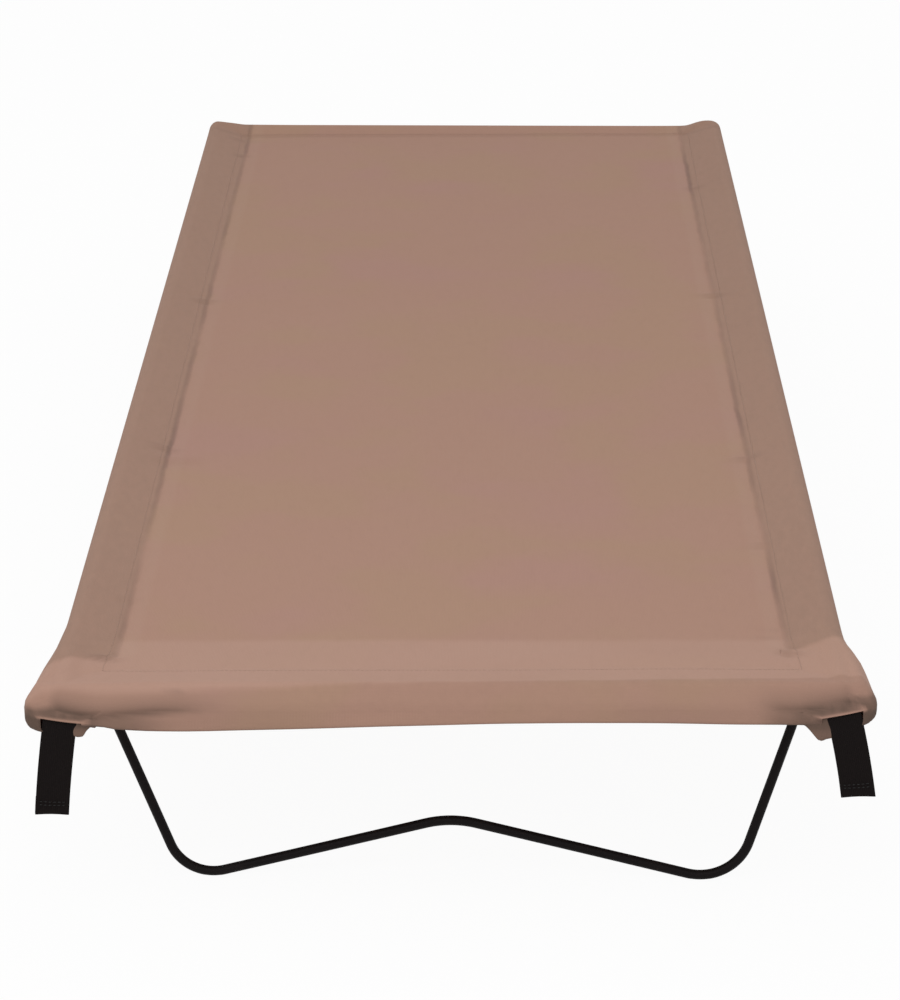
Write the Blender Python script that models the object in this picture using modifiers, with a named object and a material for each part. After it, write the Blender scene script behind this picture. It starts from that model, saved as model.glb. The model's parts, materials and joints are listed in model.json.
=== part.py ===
"""Low camping cot: a stretched cloth cover on a plug-together steel frame.

Two side rails, each of four tubes joined by inner ferrules, are held apart by an end bar at
each end. Plastic elbows carry the end bars in the rails' ends. Four W-shaped wire legs have
their tips in holes in the rails' inner walls and can fold flat under the cloth. The cover has
a sleeve round each rail, a hem round the far bar and a loose pocket over the near bar, with a
webbing pull strap under each of its corners.

X runs across the bed, Y along it from the near end to the far end, and Z up. The origin is on
the floor under the middle of the bed. Every length is in metres.
"""
import math

import bmesh
import bpy
from mathutils import Matrix, Vector

# Overall sizes of the assembled bed, over the cloth
LENGTH = 1.800
WIDTH = 0.600
HEIGHT = 0.190

# Fits: the space left between touching pieces, and how far a cutter runs past a face
FIT = 0.0003
OVERRUN = 0.002

# Side rails
RAIL_DIAMETER = 0.019
RAIL_WALL = 0.001
ELBOW_REACH = 0.020

# End bars
END_BAR_DIAMETER = 0.012
END_BAR_WALL = 0.001
END_BAR_DROP = 0.0025
END_BAR_SETBACK = 0.018

# Ferrules and their rivets
FERRULE_LENGTH = 0.090
FERRULE_WALL = 0.0012
RIVET_DIAMETER = 0.003
RIVET_HEAD_DIAMETER = 0.006
RIVET_HEAD_HEIGHT = 0.0010
RIVET_TAIL_DIAMETER = 0.0045
RIVET_TAIL_HEIGHT = 0.0018
RIVET_SETBACK = 0.025

# Corner elbows
RAIL_SPIGOT_LENGTH = 0.030
BAR_SPIGOT_LENGTH = 0.025

# Wire legs; the bend radii are those of the wire's centre line
LEG_COUNT = 4
FIRST_LEG_INSET = 0.085
LAST_LEG_INSET = 0.230
LEG_WIRE_DIAMETER = 0.007
FOOT_SPREAD = 0.379
FOOT_BEND_RADIUS = 0.040
FOOT_FLAT = 0.0005
HUMP_HEIGHT = 0.0506
HUMP_BEND_RADIUS = 0.080
TIP_BEND_RADIUS = 0.0065
TIP_LENGTH = 0.013

# Cover
CLOTH = 0.0008
SLEEVE_WIDTH = 0.045
FAR_HEM_DEPTH = 0.035
WINDOW_LENGTH = 0.110
WINDOW_SEAM_MARGIN = 0.006
SEAM_LAP = 0.0016
SEAM_FILL = 0.0024
POCKET_SEAM_THICKNESS = 0.0005

# Near pocket of the cover; it is wider than the bed by its ease on each side
POCKET_EASE = 0.0165
POCKET_HEIGHT = 0.028
POCKET_DEPTH = 0.062
POCKET_CREST_DROP = 0.0038
POCKET_CORNER_RADIUS = 0.0126
POCKET_EDGE_ROUND = 0.006
POCKET_SLACK = 0.002
FLARE_LENGTH = 0.115
NEAR_WINDOW_FRONT = 0.025

# Pull straps; each hangs in a notch near the pocket's corner, its root below the pocket's crest
STRAP_WIDTH = 0.025
STRAP_THICKNESS = 0.0016
STRAP_HEM = 0.014
STRAP_BOW = 0.002
STRAP_INSET = 0.0265
STRAP_SETBACK = 0.001
STRAP_LEFT_LENGTH = 0.0740
STRAP_RIGHT_LENGTH = 0.0650
STRAP_LEFT_LEAN = math.radians(6.5)
STRAP_RIGHT_LEAN = math.radians(10.5)
STRAP_LEFT_ROOT_DROP = 0.0212
STRAP_RIGHT_ROOT_DROP = 0.0180
NOTCH_MARGIN = 0.003
NOTCH_DEPTH = 0.020

# Facets of round pieces
TUBE_SIDES = 20
HOLE_SIDES = 12
TURNED_STEPS = 10
BALL_RINGS = 4
TIP_BEND_STEPS = 6
FOOT_BEND_STEPS = 10
HUMP_BEND_STEPS = 4
POCKET_CORNER_STEPS = 6
STRAP_STEPS = 10

# Radii that follow from the sizes above
RAIL_RADIUS = RAIL_DIAMETER / 2
RAIL_BORE = RAIL_RADIUS - RAIL_WALL
BAR_RADIUS = END_BAR_DIAMETER / 2
BAR_BORE = BAR_RADIUS - END_BAR_WALL
WIRE_RADIUS = LEG_WIRE_DIAMETER / 2
SLEEVE_INNER = RAIL_RADIUS + FIT
SLEEVE_OUTER = SLEEVE_INNER + CLOTH
HEM_INNER = BAR_RADIUS + FIT
HEM_OUTER = HEM_INNER + CLOTH

# Places that follow from the sizes above
NEAR_END = -LENGTH / 2
POCKET_WIDTH = WIDTH + 2 * POCKET_EASE
RAIL_X = WIDTH / 2 - SLEEVE_OUTER
RAIL_Z = HEIGHT - SLEEVE_OUTER
CORNER_Y = {-1: NEAR_END + POCKET_SLACK + SLEEVE_OUTER, 1: LENGTH / 2 - SLEEVE_OUTER}
RAIL_END_Y = {end: y - end * ELBOW_REACH for end, y in CORNER_Y.items()}
BAR_Z = RAIL_Z - END_BAR_DROP
BAR_END_X = RAIL_X - END_BAR_SETBACK
SEAM_X = WIDTH / 2 - SLEEVE_WIDTH
FAR_SEAM_Y = LENGTH / 2 - FAR_HEM_DEPTH
POCKET_SEAM_Y = NEAR_END + POCKET_DEPTH
POCKET_TOP = HEIGHT - POCKET_CREST_DROP
POCKET_BOTTOM = POCKET_TOP - POCKET_HEIGHT
LEG_PITCH = (LENGTH - FIRST_LEG_INSET - LAST_LEG_INSET) / (LEG_COUNT - 1)
LEG_STATIONS = [NEAR_END + FIRST_LEG_INSET + LEG_PITCH * i for i in range(LEG_COUNT)]
RAIL_JOINTS = [y + LEG_PITCH / 2 for y in LEG_STATIONS[:-1]]

ACROSS = Matrix.Rotation(math.radians(90), 4, "Y")
ALONG = Matrix.Rotation(math.radians(-90), 4, "X")


def clear_scene():
    """Remove every object that the scene starts with."""
    for obj in list(bpy.data.objects):
        bpy.data.objects.remove(obj, do_unlink=True)


def new_collection(name):
    """Return a new collection linked to the scene."""
    collection = bpy.data.collections.new(name)
    bpy.context.scene.collection.children.link(collection)
    return collection


def new_material(name, colour, roughness, metallic=0.0):
    """Return a Principled material of one colour."""
    material = bpy.data.materials.new(name)
    material.use_nodes = True
    shader = material.node_tree.nodes["Principled BSDF"]
    shader.inputs["Base Color"].default_value = (*colour, 1.0)
    shader.inputs["Roughness"].default_value = roughness
    shader.inputs["Metallic"].default_value = metallic
    return material


clear_scene()
PARTS = new_collection("camping_cot")
CUTTERS = new_collection("cutters")
BLACK_STEEL = new_material("black_steel", (0.011, 0.009, 0.009), 0.35, 0.2)
BARE_STEEL = new_material("bare_steel", (0.45, 0.45, 0.44), 0.4, 1.0)
ALUMINIUM = new_material("rivet_aluminium", (0.70, 0.70, 0.70), 0.35, 1.0)
BLACK_PLASTIC = new_material("black_plastic", (0.02, 0.02, 0.02), 0.5)
BROWN_CLOTH = new_material("brown_cloth", (0.381, 0.235, 0.175), 0.85)
BLACK_WEBBING = new_material("black_webbing", (0.012, 0.010, 0.009), 0.8)


def place(obj, name, collection):
    """Name an object and keep it in one collection only."""
    obj.name = name
    obj.data.name = name
    for owner in list(obj.users_collection):
        owner.objects.unlink(obj)
    collection.objects.link(obj)
    return obj


def as_part(obj, name, material):
    """Make an object one of the bed's pieces, shaded smooth with sharp edges kept."""
    place(obj, name, PARTS)
    obj.data.materials.clear()
    obj.data.materials.append(material)
    obj.data.shade_smooth()
    obj.data.set_sharp_from_angle(angle=math.radians(30))
    return obj


def as_cutter(obj, name):
    """Make an object a helper shape, shown as a wire frame and never rendered."""
    place(obj, name, CUTTERS)
    obj.hide_render = True
    obj.display_type = "WIRE"
    return obj


def boolean(obj, other, operation, solver="EXACT"):
    """Add a Boolean with another object to an object's modifiers.

    The cover's thin walls need MANIFOLD: at some bed lengths EXACT leaves them open.
    """
    modifier = obj.modifiers.new(f"{operation.lower()}_{other.name}", "BOOLEAN")
    modifier.operation = operation
    modifier.solver = solver
    modifier.object = other


def mesh_from_bmesh(bm, name):
    """Return an object that holds a bmesh, with its faces pointing out."""
    bmesh.ops.recalc_face_normals(bm, faces=bm.faces[:])
    mesh = bpy.data.meshes.new(name)
    bm.to_mesh(mesh)
    bm.free()
    return bpy.data.objects.new(name, mesh)


def hull(name, points):
    """Return the convex solid round a set of points."""
    bm = bmesh.new()
    for point in points:
        bm.verts.new(point)
    result = bmesh.ops.convex_hull(bm, input=bm.verts[:])
    inside = {v for v in result["geom_interior"] if isinstance(v, bmesh.types.BMVert)}
    bmesh.ops.delete(bm, geom=list(inside), context="VERTS")
    return mesh_from_bmesh(bm, name)


def rod(name, radius, start, end, turn, sides=TUBE_SIDES):
    """Return a solid cylinder from start to end; turn swings the Z axis to its direction."""
    start, end = Vector(start), Vector(end)
    bm = bmesh.new()
    bmesh.ops.create_cone(bm, cap_ends=True, segments=sides, radius1=radius, radius2=radius,
                          depth=(end - start).length)
    obj = mesh_from_bmesh(bm, name)
    obj.matrix_world = Matrix.Translation((start + end) / 2) @ turn
    return obj


def tube(name, radius, wall, start, end, turn):
    """Return an open cylinder from start to end with a wall that grows inwards."""
    start, end = Vector(start), Vector(end)
    bpy.ops.mesh.primitive_cylinder_add(vertices=TUBE_SIDES, radius=radius, end_fill_type="NOTHING",
                                        depth=(end - start).length)
    obj = bpy.context.object
    obj.matrix_world = Matrix.Translation((start + end) / 2) @ turn
    solidify = obj.modifiers.new("wall", "SOLIDIFY")
    solidify.thickness = wall
    solidify.offset = -1
    return obj


def mesh_of_curve(curve_object, name):
    """Return a welded mesh object made from a curve, and remove the curve."""
    graph = bpy.context.evaluated_depsgraph_get()
    mesh = bpy.data.meshes.new_from_object(curve_object.evaluated_get(graph))
    bm = bmesh.new()
    bm.from_mesh(mesh)
    bmesh.ops.remove_doubles(bm, verts=bm.verts[:], dist=0.00001)
    obj = mesh_from_bmesh(bm, name)
    obj.matrix_world = curve_object.matrix_world.copy()
    bpy.data.objects.remove(curve_object, do_unlink=True)
    return obj


def poly_curve(name, points, cyclic):
    """Return a curve object of straight runs through points."""
    curve = bpy.data.curves.new(name, "CURVE")
    curve.dimensions = "2D" if cyclic else "3D"
    spline = curve.splines.new("POLY")
    spline.points.add(len(points) - 1)
    for knot, point in zip(spline.points, points):
        knot.co = (*point, 0.0, 1.0) if len(point) == 2 else (*point, 1.0)
    spline.use_cyclic_u = cyclic
    obj = bpy.data.objects.new(name, curve)
    bpy.context.scene.collection.objects.link(obj)
    return obj


def turned(name, profile):
    """Return a solid turned about its own Z from (radius, height) points, top to bottom."""
    mesh = bpy.data.meshes.new(name)
    points = [(radius, 0.0, height) for radius, height in profile]
    mesh.from_pydata(points, [(i, i + 1) for i in range(len(points) - 1)], [])
    obj = bpy.data.objects.new(name, mesh)
    bpy.context.scene.collection.objects.link(obj)
    screw = obj.modifiers.new("turn", "SCREW")
    screw.steps = TURNED_STEPS
    screw.render_steps = TURNED_STEPS
    screw.use_merge_vertices = True
    screw.merge_threshold = 0.00001
    return mesh_of_curve(obj, name)


def circle_points(centre, radius, first, last, steps):
    """Return points on an arc from one angle to another, both ends included."""
    angles = [first + (last - first) * i / steps for i in range(steps + 1)]
    return [(centre[0] + radius * math.cos(a), centre[1] + radius * math.sin(a)) for a in angles]


def ball_points(centre, radius):
    """Return the corners of a ball whose widest rings lie square to X, Y and Z."""
    points = []
    for ring in range(-BALL_RINGS, BALL_RINGS + 1):
        tilt = math.pi / 2 * ring / BALL_RINGS
        for x, z in circle_points((0, 0), radius * math.cos(tilt), 0, 2 * math.pi, TUBE_SIDES):
            points.append((centre[0] + x, centre[1] + radius * math.sin(tilt), centre[2] + z))
    return points


def teardrop(centre, radius, tip):
    """Return a drop's outline: a round end and two straight sides that meet at the tip."""
    reach = math.dist(centre, tip)
    towards = math.atan2(tip[1] - centre[1], tip[0] - centre[0])
    half = math.acos(radius / reach)
    arc = circle_points(centre, radius, towards + half, towards + 2 * math.pi - half, TUBE_SIDES)
    return arc + [tip]


# Frame

def build_rails():
    """Make the four tubes of each side rail, with the legs' and the rivets' holes."""
    ends = [RAIL_END_Y[-1], *RAIL_JOINTS, RAIL_END_Y[1]]
    for side, side_name in ((-1, "left"), (1, "right")):
        for number in range(len(ends) - 1):
            start = ends[number] + (FIT / 2 if number else 0)
            end = ends[number + 1] - (FIT / 2 if number < len(ends) - 2 else 0)
            rail = tube("rail", RAIL_RADIUS, RAIL_WALL, (side * RAIL_X, start, RAIL_Z),
                        (side * RAIL_X, end, RAIL_Z), ALONG)
            name = f"rail_{side_name}_{number + 1}"
            as_part(rail, name, BLACK_STEEL)
            drill(rail, f"{name}_leg_hole", WIRE_RADIUS + FIT, side, LEG_STATIONS[number])
            if number < len(RAIL_JOINTS):
                rivet_y = RAIL_JOINTS[number] - RIVET_SETBACK
                drill(rail, f"{name}_rivet_hole", RIVET_DIAMETER / 2 + FIT, side, rivet_y)


def drill(obj, name, radius, side, y):
    """Cut a round hole through the wall that faces the middle of the bed."""
    start = (side * (RAIL_X - RAIL_RADIUS - OVERRUN), y, RAIL_Z)
    end = (side * RAIL_X, y, RAIL_Z)
    boolean(obj, as_cutter(rod(name, radius, start, end, ACROSS, HOLE_SIDES), name), "DIFFERENCE")


def build_ferrules():
    """Make the inner tubes that join the rail sections, each riveted into the nearer one."""
    radius = RAIL_BORE - FIT
    for side, side_name in ((-1, "left"), (1, "right")):
        for number, joint in enumerate(RAIL_JOINTS):
            ferrule = tube("ferrule", radius, FERRULE_WALL,
                           (side * RAIL_X, joint - FERRULE_LENGTH / 2, RAIL_Z),
                           (side * RAIL_X, joint + FERRULE_LENGTH / 2, RAIL_Z), ALONG)
            name = f"ferrule_{side_name}_{number + 1}"
            as_part(ferrule, name, BARE_STEEL)
            drill(ferrule, f"{name}_rivet_hole", RIVET_DIAMETER / 2 + FIT, side,
                  joint - RIVET_SETBACK)


def build_rivets():
    """Make the rivets that hold the ferrules, their heads towards the middle of the bed."""
    seat = RAIL_RADIUS + FIT
    shank = RIVET_DIAMETER / 2
    head = RIVET_HEAD_DIAMETER / 2
    tail = RIVET_TAIL_DIAMETER / 2
    back = math.sqrt((RAIL_BORE - FIT - FERRULE_WALL) ** 2 - tail ** 2) - FIT
    profile = [(0, seat + RIVET_HEAD_HEIGHT), (head * 0.6, seat + RIVET_HEAD_HEIGHT),
               (head, seat + RIVET_HEAD_HEIGHT * 0.3), (head, seat), (shank, seat),
               (shank, back), (tail, back), (tail, back - RIVET_TAIL_HEIGHT),
               (0, back - RIVET_TAIL_HEIGHT)]
    pattern = turned("rivet", profile)
    for side, side_name in ((-1, "left"), (1, "right")):
        for number, joint in enumerate(RAIL_JOINTS):
            rivet = bpy.data.objects.new("rivet", pattern.data)
            rivet.location = (side * RAIL_X, joint - RIVET_SETBACK, RAIL_Z)
            rivet.rotation_euler = (0, math.radians(-90 * side), 0)
            as_part(rivet, f"rivet_{side_name}_{number + 1}", ALUMINIUM)
    bpy.data.objects.remove(pattern, do_unlink=True)


def build_end_bars():
    """Make the tube across each end of the bed."""
    for side, side_name in ((-1, "near"), (1, "far")):
        bar = tube("bar", BAR_RADIUS, END_BAR_WALL, (-BAR_END_X, CORNER_Y[side], BAR_Z),
                   (BAR_END_X, CORNER_Y[side], BAR_Z), ACROSS)
        as_part(bar, f"end_bar_{side_name}", BLACK_STEEL)


def build_elbows():
    """Make the corner mouldings: two rounded arms, each with a spigot for its tube."""
    for x_side, x_name in ((-1, "left"), (1, "right")):
        for y_side, y_name in ((-1, "near"), (1, "far")):
            name = f"corner_elbow_{y_name}_{x_name}"
            corner = (x_side * RAIL_X, CORNER_Y[y_side], RAIL_Z)
            low_corner = (corner[0], corner[1], BAR_Z)
            shoulder_y = RAIL_END_Y[y_side] + y_side * FIT
            shoulder_x = x_side * (BAR_END_X + FIT)
            ring = circle_points((corner[0], RAIL_Z), RAIL_RADIUS, 0, 2 * math.pi, TUBE_SIDES)
            elbow = hull("elbow", ball_points(corner, RAIL_RADIUS)
                         + [(x, shoulder_y, z) for x, z in ring])
            as_part(elbow, name, BLACK_PLASTIC)
            arm = rod("arm", BAR_RADIUS, low_corner, (shoulder_x, corner[1], BAR_Z), ACROSS)
            boolean(elbow, as_cutter(arm, f"{name}_arm"), "UNION")
            rail_spigot = rod("spigot", RAIL_BORE - FIT, corner,
                              (corner[0], shoulder_y - y_side * RAIL_SPIGOT_LENGTH, RAIL_Z), ALONG)
            boolean(elbow, as_cutter(rail_spigot, f"{name}_rail_spigot"), "UNION")
            bar_spigot = rod("spigot", BAR_BORE - FIT, low_corner,
                             (shoulder_x - x_side * BAR_SPIGOT_LENGTH, corner[1], BAR_Z), ACROSS)
            boolean(elbow, as_cutter(bar_spigot, f"{name}_bar_spigot"), "UNION")


# Legs

def tangent_angle(first, first_radius, first_way, second, second_radius, second_way):
    """Return the angle of the line's normal where a wire leaves one peg for the next.

    A way is 1 where the wire runs anticlockwise round its peg and -1 where it runs clockwise.
    """
    offset = first_way * first_radius - second_way * second_radius
    heading = math.atan2(second[1] - first[1], second[0] - first[0])
    return heading - math.acos(offset / math.dist(first, second))


def leg_centre_line():
    """Return the wire's centre line in (x, z), as it is bent round five pegs.

    From the right tip inwards the wire goes over the tip peg, down the arm, under the foot peg
    and up to the hump peg in the middle; the left half mirrors it.
    """
    bend_x = RAIL_X - RAIL_RADIUS - FIT / 2
    tip_peg = (bend_x, RAIL_Z - TIP_BEND_RADIUS)
    foot_peg = (FOOT_SPREAD / 2, WIRE_RADIUS - FOOT_FLAT + FOOT_BEND_RADIUS)
    hump_peg = (0.0, HUMP_HEIGHT - WIRE_RADIUS - HUMP_BEND_RADIUS)
    arm = tangent_angle(tip_peg, TIP_BEND_RADIUS, 1, foot_peg, FOOT_BEND_RADIUS, -1)
    run = tangent_angle(foot_peg, FOOT_BEND_RADIUS, -1, hump_peg, HUMP_BEND_RADIUS, 1)
    top = math.pi / 2
    arm = top + (arm - top) % (2 * math.pi)
    run = run % (2 * math.pi)
    half = [(bend_x + TIP_LENGTH, RAIL_Z)]
    half += circle_points(tip_peg, TIP_BEND_RADIUS, top, arm, TIP_BEND_STEPS)
    half += circle_points(foot_peg, FOOT_BEND_RADIUS, arm - math.pi, run - math.pi,
                          FOOT_BEND_STEPS)
    half += circle_points(hump_peg, HUMP_BEND_RADIUS, run, top, HUMP_BEND_STEPS)
    return half + [(-x, z) for x, z in reversed(half[:-1])]


def build_legs():
    """Make the wire legs, each with its origin on the line through its tips."""
    line = [(x, 0.0, z - RAIL_Z) for x, z in leg_centre_line()]
    wire = poly_curve("leg", line, cyclic=False)
    wire.data.bevel_depth = WIRE_RADIUS
    wire.data.bevel_resolution = 2
    wire.data.use_fill_caps = True
    pattern = mesh_of_curve(wire, "leg")
    floor = rod("floor", WIDTH, (0, 0, -WIDTH), (0, 0, 0), Matrix(), sides=4)
    floor.data.transform(Matrix.Diagonal((1, 2 * LENGTH / WIDTH, 1, 1)))
    as_cutter(floor, "floor_trim")
    for number, station in enumerate(LEG_STATIONS):
        leg = bpy.data.objects.new("leg", pattern.data)
        leg.location = (0, station, RAIL_Z)
        as_part(leg, f"leg_{number + 1}", BLACK_STEEL)
        boolean(leg, floor, "DIFFERENCE")
    bpy.data.objects.remove(pattern, do_unlink=True)


# Cover

def side_sleeve(side, radius, inset):
    """Return the solid of a side sleeve: a drop along the rail with a round end at each corner.

    The drop runs between the end seams, drawn in by inset; past them it fades into the corners.
    """
    tip_x = RAIL_X - (RAIL_X - SEAM_X) * radius / SLEEVE_OUTER
    drop = teardrop((RAIL_X, RAIL_Z), radius, (tip_x, RAIL_Z))
    points = []
    for end, seam_y in ((-1, POCKET_SEAM_Y), (1, FAR_SEAM_Y)):
        points += ball_points((side * RAIL_X, CORNER_Y[end], RAIL_Z), radius)
        points += [(side * x, seam_y - end * inset, z) for x, z in drop]
    return hull("side_sleeve", points)


def far_hem(radius):
    """Return the solid of the hem round the far bar, from the middle of one rail to the other."""
    share = radius / HEM_OUTER
    centre_y = CORNER_Y[1]
    tip = (centre_y + (FAR_SEAM_Y - centre_y) * share, BAR_Z + (RAIL_Z - BAR_Z) * share)
    drop = teardrop((centre_y, BAR_Z), radius, tip)
    return hull("far_hem", [(side * RAIL_X, y, z) for side in (-1, 1) for y, z in drop])


def pocket_outline(inset):
    """Return the pocket's front outline in (x, z): a rounded rectangle, drawn in by inset."""
    radius = POCKET_CORNER_RADIUS - inset
    centre_x = POCKET_WIDTH / 2 - POCKET_CORNER_RADIUS
    low = POCKET_BOTTOM + POCKET_CORNER_RADIUS
    high = POCKET_TOP - POCKET_CORNER_RADIUS
    quarter = math.pi / 2
    outline = []
    for number, centre in enumerate(((centre_x, high), (-centre_x, high), (-centre_x, low),
                                     (centre_x, low))):
        outline += circle_points(centre, radius, quarter * number, quarter * (number + 1),
                                 POCKET_CORNER_STEPS)
    return outline


def pocket_front(inset):
    """Return the pocket's rounded front in (x, y, z), with its wall drawn in by inset."""
    rim = [(x, NEAR_END + POCKET_EDGE_ROUND, z) for x, z in pocket_outline(inset)]
    face = [(x, NEAR_END + inset, z) for x, z in pocket_outline(POCKET_EDGE_ROUND)]
    return rim + face


def pocket_wedge(inset):
    """Return the solid of the pocket over the near bar, which narrows to its seam."""
    seam_y = POCKET_SEAM_Y - (SEAM_FILL if inset else 0)
    lip = POCKET_SEAM_THICKNESS / 2
    seam = [(x, seam_y, RAIL_Z + z) for x in (-RAIL_X, RAIL_X) for z in (-lip, lip)]
    return hull("pocket", pocket_front(inset) + seam)


def pocket_flare(side, inset, radius):
    """Return the solid that widens from a side sleeve to the pocket's front corner.

    Its ends lie just inside the pocket and the sleeve, so that no two faces coincide.
    """
    inner_x = RAIL_X - radius
    front = [(side * x, y, z) for x, y, z in pocket_front(inset + FIT / 2) if x > inner_x]
    front += [(side * inner_x, NEAR_END + POCKET_EDGE_ROUND, z)
              for z in (POCKET_BOTTOM + inset + FIT, POCKET_TOP - inset - FIT)]
    ring = circle_points((RAIL_X, RAIL_Z), radius - 2 * FIT, 0, 2 * math.pi, TUBE_SIDES)
    back = [(side * x, NEAR_END + FLARE_LENGTH, z) for x, z in ring]
    return hull("flare", front + back)


def strap_frame(side):
    """Return the matrix of a strap's root: its X along the root, its Z up the strap."""
    drop = STRAP_LEFT_ROOT_DROP if side < 0 else STRAP_RIGHT_ROOT_DROP
    lean = STRAP_LEFT_LEAN if side < 0 else -STRAP_RIGHT_LEAN
    root = Vector((side * (POCKET_WIDTH / 2 - STRAP_INSET), NEAR_END + STRAP_SETBACK,
                   POCKET_TOP - drop))
    return Matrix.Translation(root) @ Matrix.Rotation(lean, 4, "Y")


def strap_notch(side):
    """Return the block that opens the pocket's lower front edge for a strap."""
    half_width = STRAP_WIDTH / 2 + NOTCH_MARGIN
    top = STRAP_THICKNESS / 2 + FIT
    points = [Vector((x, y, z)) for x in (-half_width, half_width)
              for y in (-OVERRUN, NOTCH_DEPTH) for z in (top - POCKET_HEIGHT, top)]
    return hull("notch", [strap_frame(side) @ point for point in points])


def leg_window(side, number):
    """Return the block that opens the lower layer of a side sleeve at a leg."""
    station = LEG_STATIONS[number]
    front = NEAR_WINDOW_FRONT if number == 0 else WINDOW_LENGTH / 2
    rear = WINDOW_LENGTH / 2
    reach_in = SEAM_X + WINDOW_SEAM_MARGIN
    reach_out = RAIL_X + OVERRUN
    low = POCKET_BOTTOM - OVERRUN
    high = RAIL_Z - FIT / 2
    points = [(side * x, y, z) for x in (reach_in, reach_out)
              for y in (station - front, station + rear) for z in (low, high)]
    return hull("window", points)


def build_cover():
    """Make the one-piece cloth cover: panel, side sleeves, far hem and near pocket."""
    half_panel = SEAM_X + SEAM_LAP
    panel_points = [(x, y, z) for x in (-half_panel, half_panel)
                    for y in (POCKET_SEAM_Y - SEAM_LAP, FAR_SEAM_Y + SEAM_LAP)
                    for z in (RAIL_Z - CLOTH / 2, RAIL_Z + CLOTH / 2)]
    cover = as_part(hull("cover", panel_points), "cover", BROWN_CLOTH)
    outsides = [("hem", far_hem(HEM_OUTER)), ("pocket", pocket_wedge(0.0))]
    insides = [("hem", far_hem(HEM_INNER)), ("pocket", pocket_wedge(CLOTH))]
    for side, name in ((-1, "left"), (1, "right")):
        outsides.append((f"sleeve_{name}", side_sleeve(side, SLEEVE_OUTER, 0.0)))
        outsides.append((f"flare_{name}", pocket_flare(side, 0.0, SLEEVE_OUTER)))
        insides.append((f"sleeve_{name}", side_sleeve(side, SLEEVE_INNER, SEAM_FILL)))
        insides.append((f"flare_{name}", pocket_flare(side, CLOTH, SLEEVE_INNER)))
    for name, solid in outsides:
        boolean(cover, as_cutter(solid, f"{name}_outside"), "UNION", "MANIFOLD")
    for side, name in ((-1, "left"), (1, "right")):
        insides.append((f"notch_{name}", strap_notch(side)))
        for number in range(LEG_COUNT):
            insides.append((f"window_{name}_{number + 1}", leg_window(side, number)))
    for name, solid in insides:
        boolean(cover, as_cutter(solid, f"{name}_inside"), "DIFFERENCE", "MANIFOLD")


# Pull straps

def strap_outline(length):
    """Return a strap's side view in (y, z), hanging from a round top at its stitched root."""
    half = STRAP_THICKNESS / 2
    heights = [-length * i / STRAP_STEPS for i in range(1, STRAP_STEPS + 1)]
    hem_top = -length + STRAP_HEM
    bow = [STRAP_BOW * math.sin(math.pi * z / -length) for z in heights]
    front = [(b - half, z) for b, z in zip(bow, heights)]
    back = [(b + half + (STRAP_THICKNESS if z < hem_top else 0), z)
            for b, z in zip(bow, heights)]
    top = circle_points((0, 0), half, math.pi, 0, 6)
    return top + back + front[::-1]


def build_straps():
    """Make the two webbing straps, each with its origin on its swinging axis."""
    upright = Matrix(((0, 0, 1, 0), (1, 0, 0, 0), (0, 1, 0, 0), (0, 0, 0, 1)))
    for side, name, length in ((-1, "left", STRAP_LEFT_LENGTH), (1, "right", STRAP_RIGHT_LENGTH)):
        flat = poly_curve("strap", strap_outline(length), cyclic=True)
        flat.data.fill_mode = "BOTH"
        flat.data.extrude = STRAP_WIDTH / 2
        strap = mesh_of_curve(flat, "strap")
        strap.data.transform(upright)
        strap.matrix_world = strap_frame(side)
        as_part(strap, f"pull_strap_{name}", BLACK_WEBBING)


build_rails()
build_ferrules()
build_rivets()
build_end_bars()
build_elbows()
build_legs()
build_cover()
build_straps()
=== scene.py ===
"""Looks of the low camping cot: cloth cover, webbing straps, wire legs, finishes and studio.

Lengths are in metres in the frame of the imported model: X across the bed, Y along it from the
near end with the pull straps, Z up from the floor.
"""
import json
import logging
import math
from dataclasses import dataclass
from enum import Enum

import bpy
import numpy as np
from mathutils import Matrix, Vector


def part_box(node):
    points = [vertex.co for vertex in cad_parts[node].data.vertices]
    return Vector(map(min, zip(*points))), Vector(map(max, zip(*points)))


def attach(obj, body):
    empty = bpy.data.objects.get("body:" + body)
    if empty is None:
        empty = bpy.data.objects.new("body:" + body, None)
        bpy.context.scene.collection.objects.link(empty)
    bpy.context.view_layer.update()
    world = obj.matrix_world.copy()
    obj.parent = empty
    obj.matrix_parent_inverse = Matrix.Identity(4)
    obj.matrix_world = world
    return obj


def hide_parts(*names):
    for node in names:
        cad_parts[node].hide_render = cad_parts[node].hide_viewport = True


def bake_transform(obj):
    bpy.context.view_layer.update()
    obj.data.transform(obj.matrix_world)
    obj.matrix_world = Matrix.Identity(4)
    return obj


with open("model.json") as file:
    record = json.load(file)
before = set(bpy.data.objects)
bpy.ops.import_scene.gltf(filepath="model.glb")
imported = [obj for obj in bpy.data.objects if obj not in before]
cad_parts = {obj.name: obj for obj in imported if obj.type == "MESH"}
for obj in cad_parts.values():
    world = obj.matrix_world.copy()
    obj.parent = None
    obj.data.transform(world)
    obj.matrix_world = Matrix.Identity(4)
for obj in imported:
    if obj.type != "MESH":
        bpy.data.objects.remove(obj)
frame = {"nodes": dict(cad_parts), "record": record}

LOG = logging.getLogger("camping_cot")
Array = np.ndarray
Material = bpy.types.Material
Socket = bpy.types.NodeSocket
Colour = tuple[float, float, float]
Pair = tuple[float, float]
Knots = tuple[Pair, ...]


class Side(Enum):
    """The two sides of the bed; the value is the sign of X."""

    LEFT = -1
    RIGHT = 1

    @property
    def word(self) -> str:
        """Return the side's name as the model's nodes spell it."""
        return self.name.lower()


# Shader maths


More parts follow.
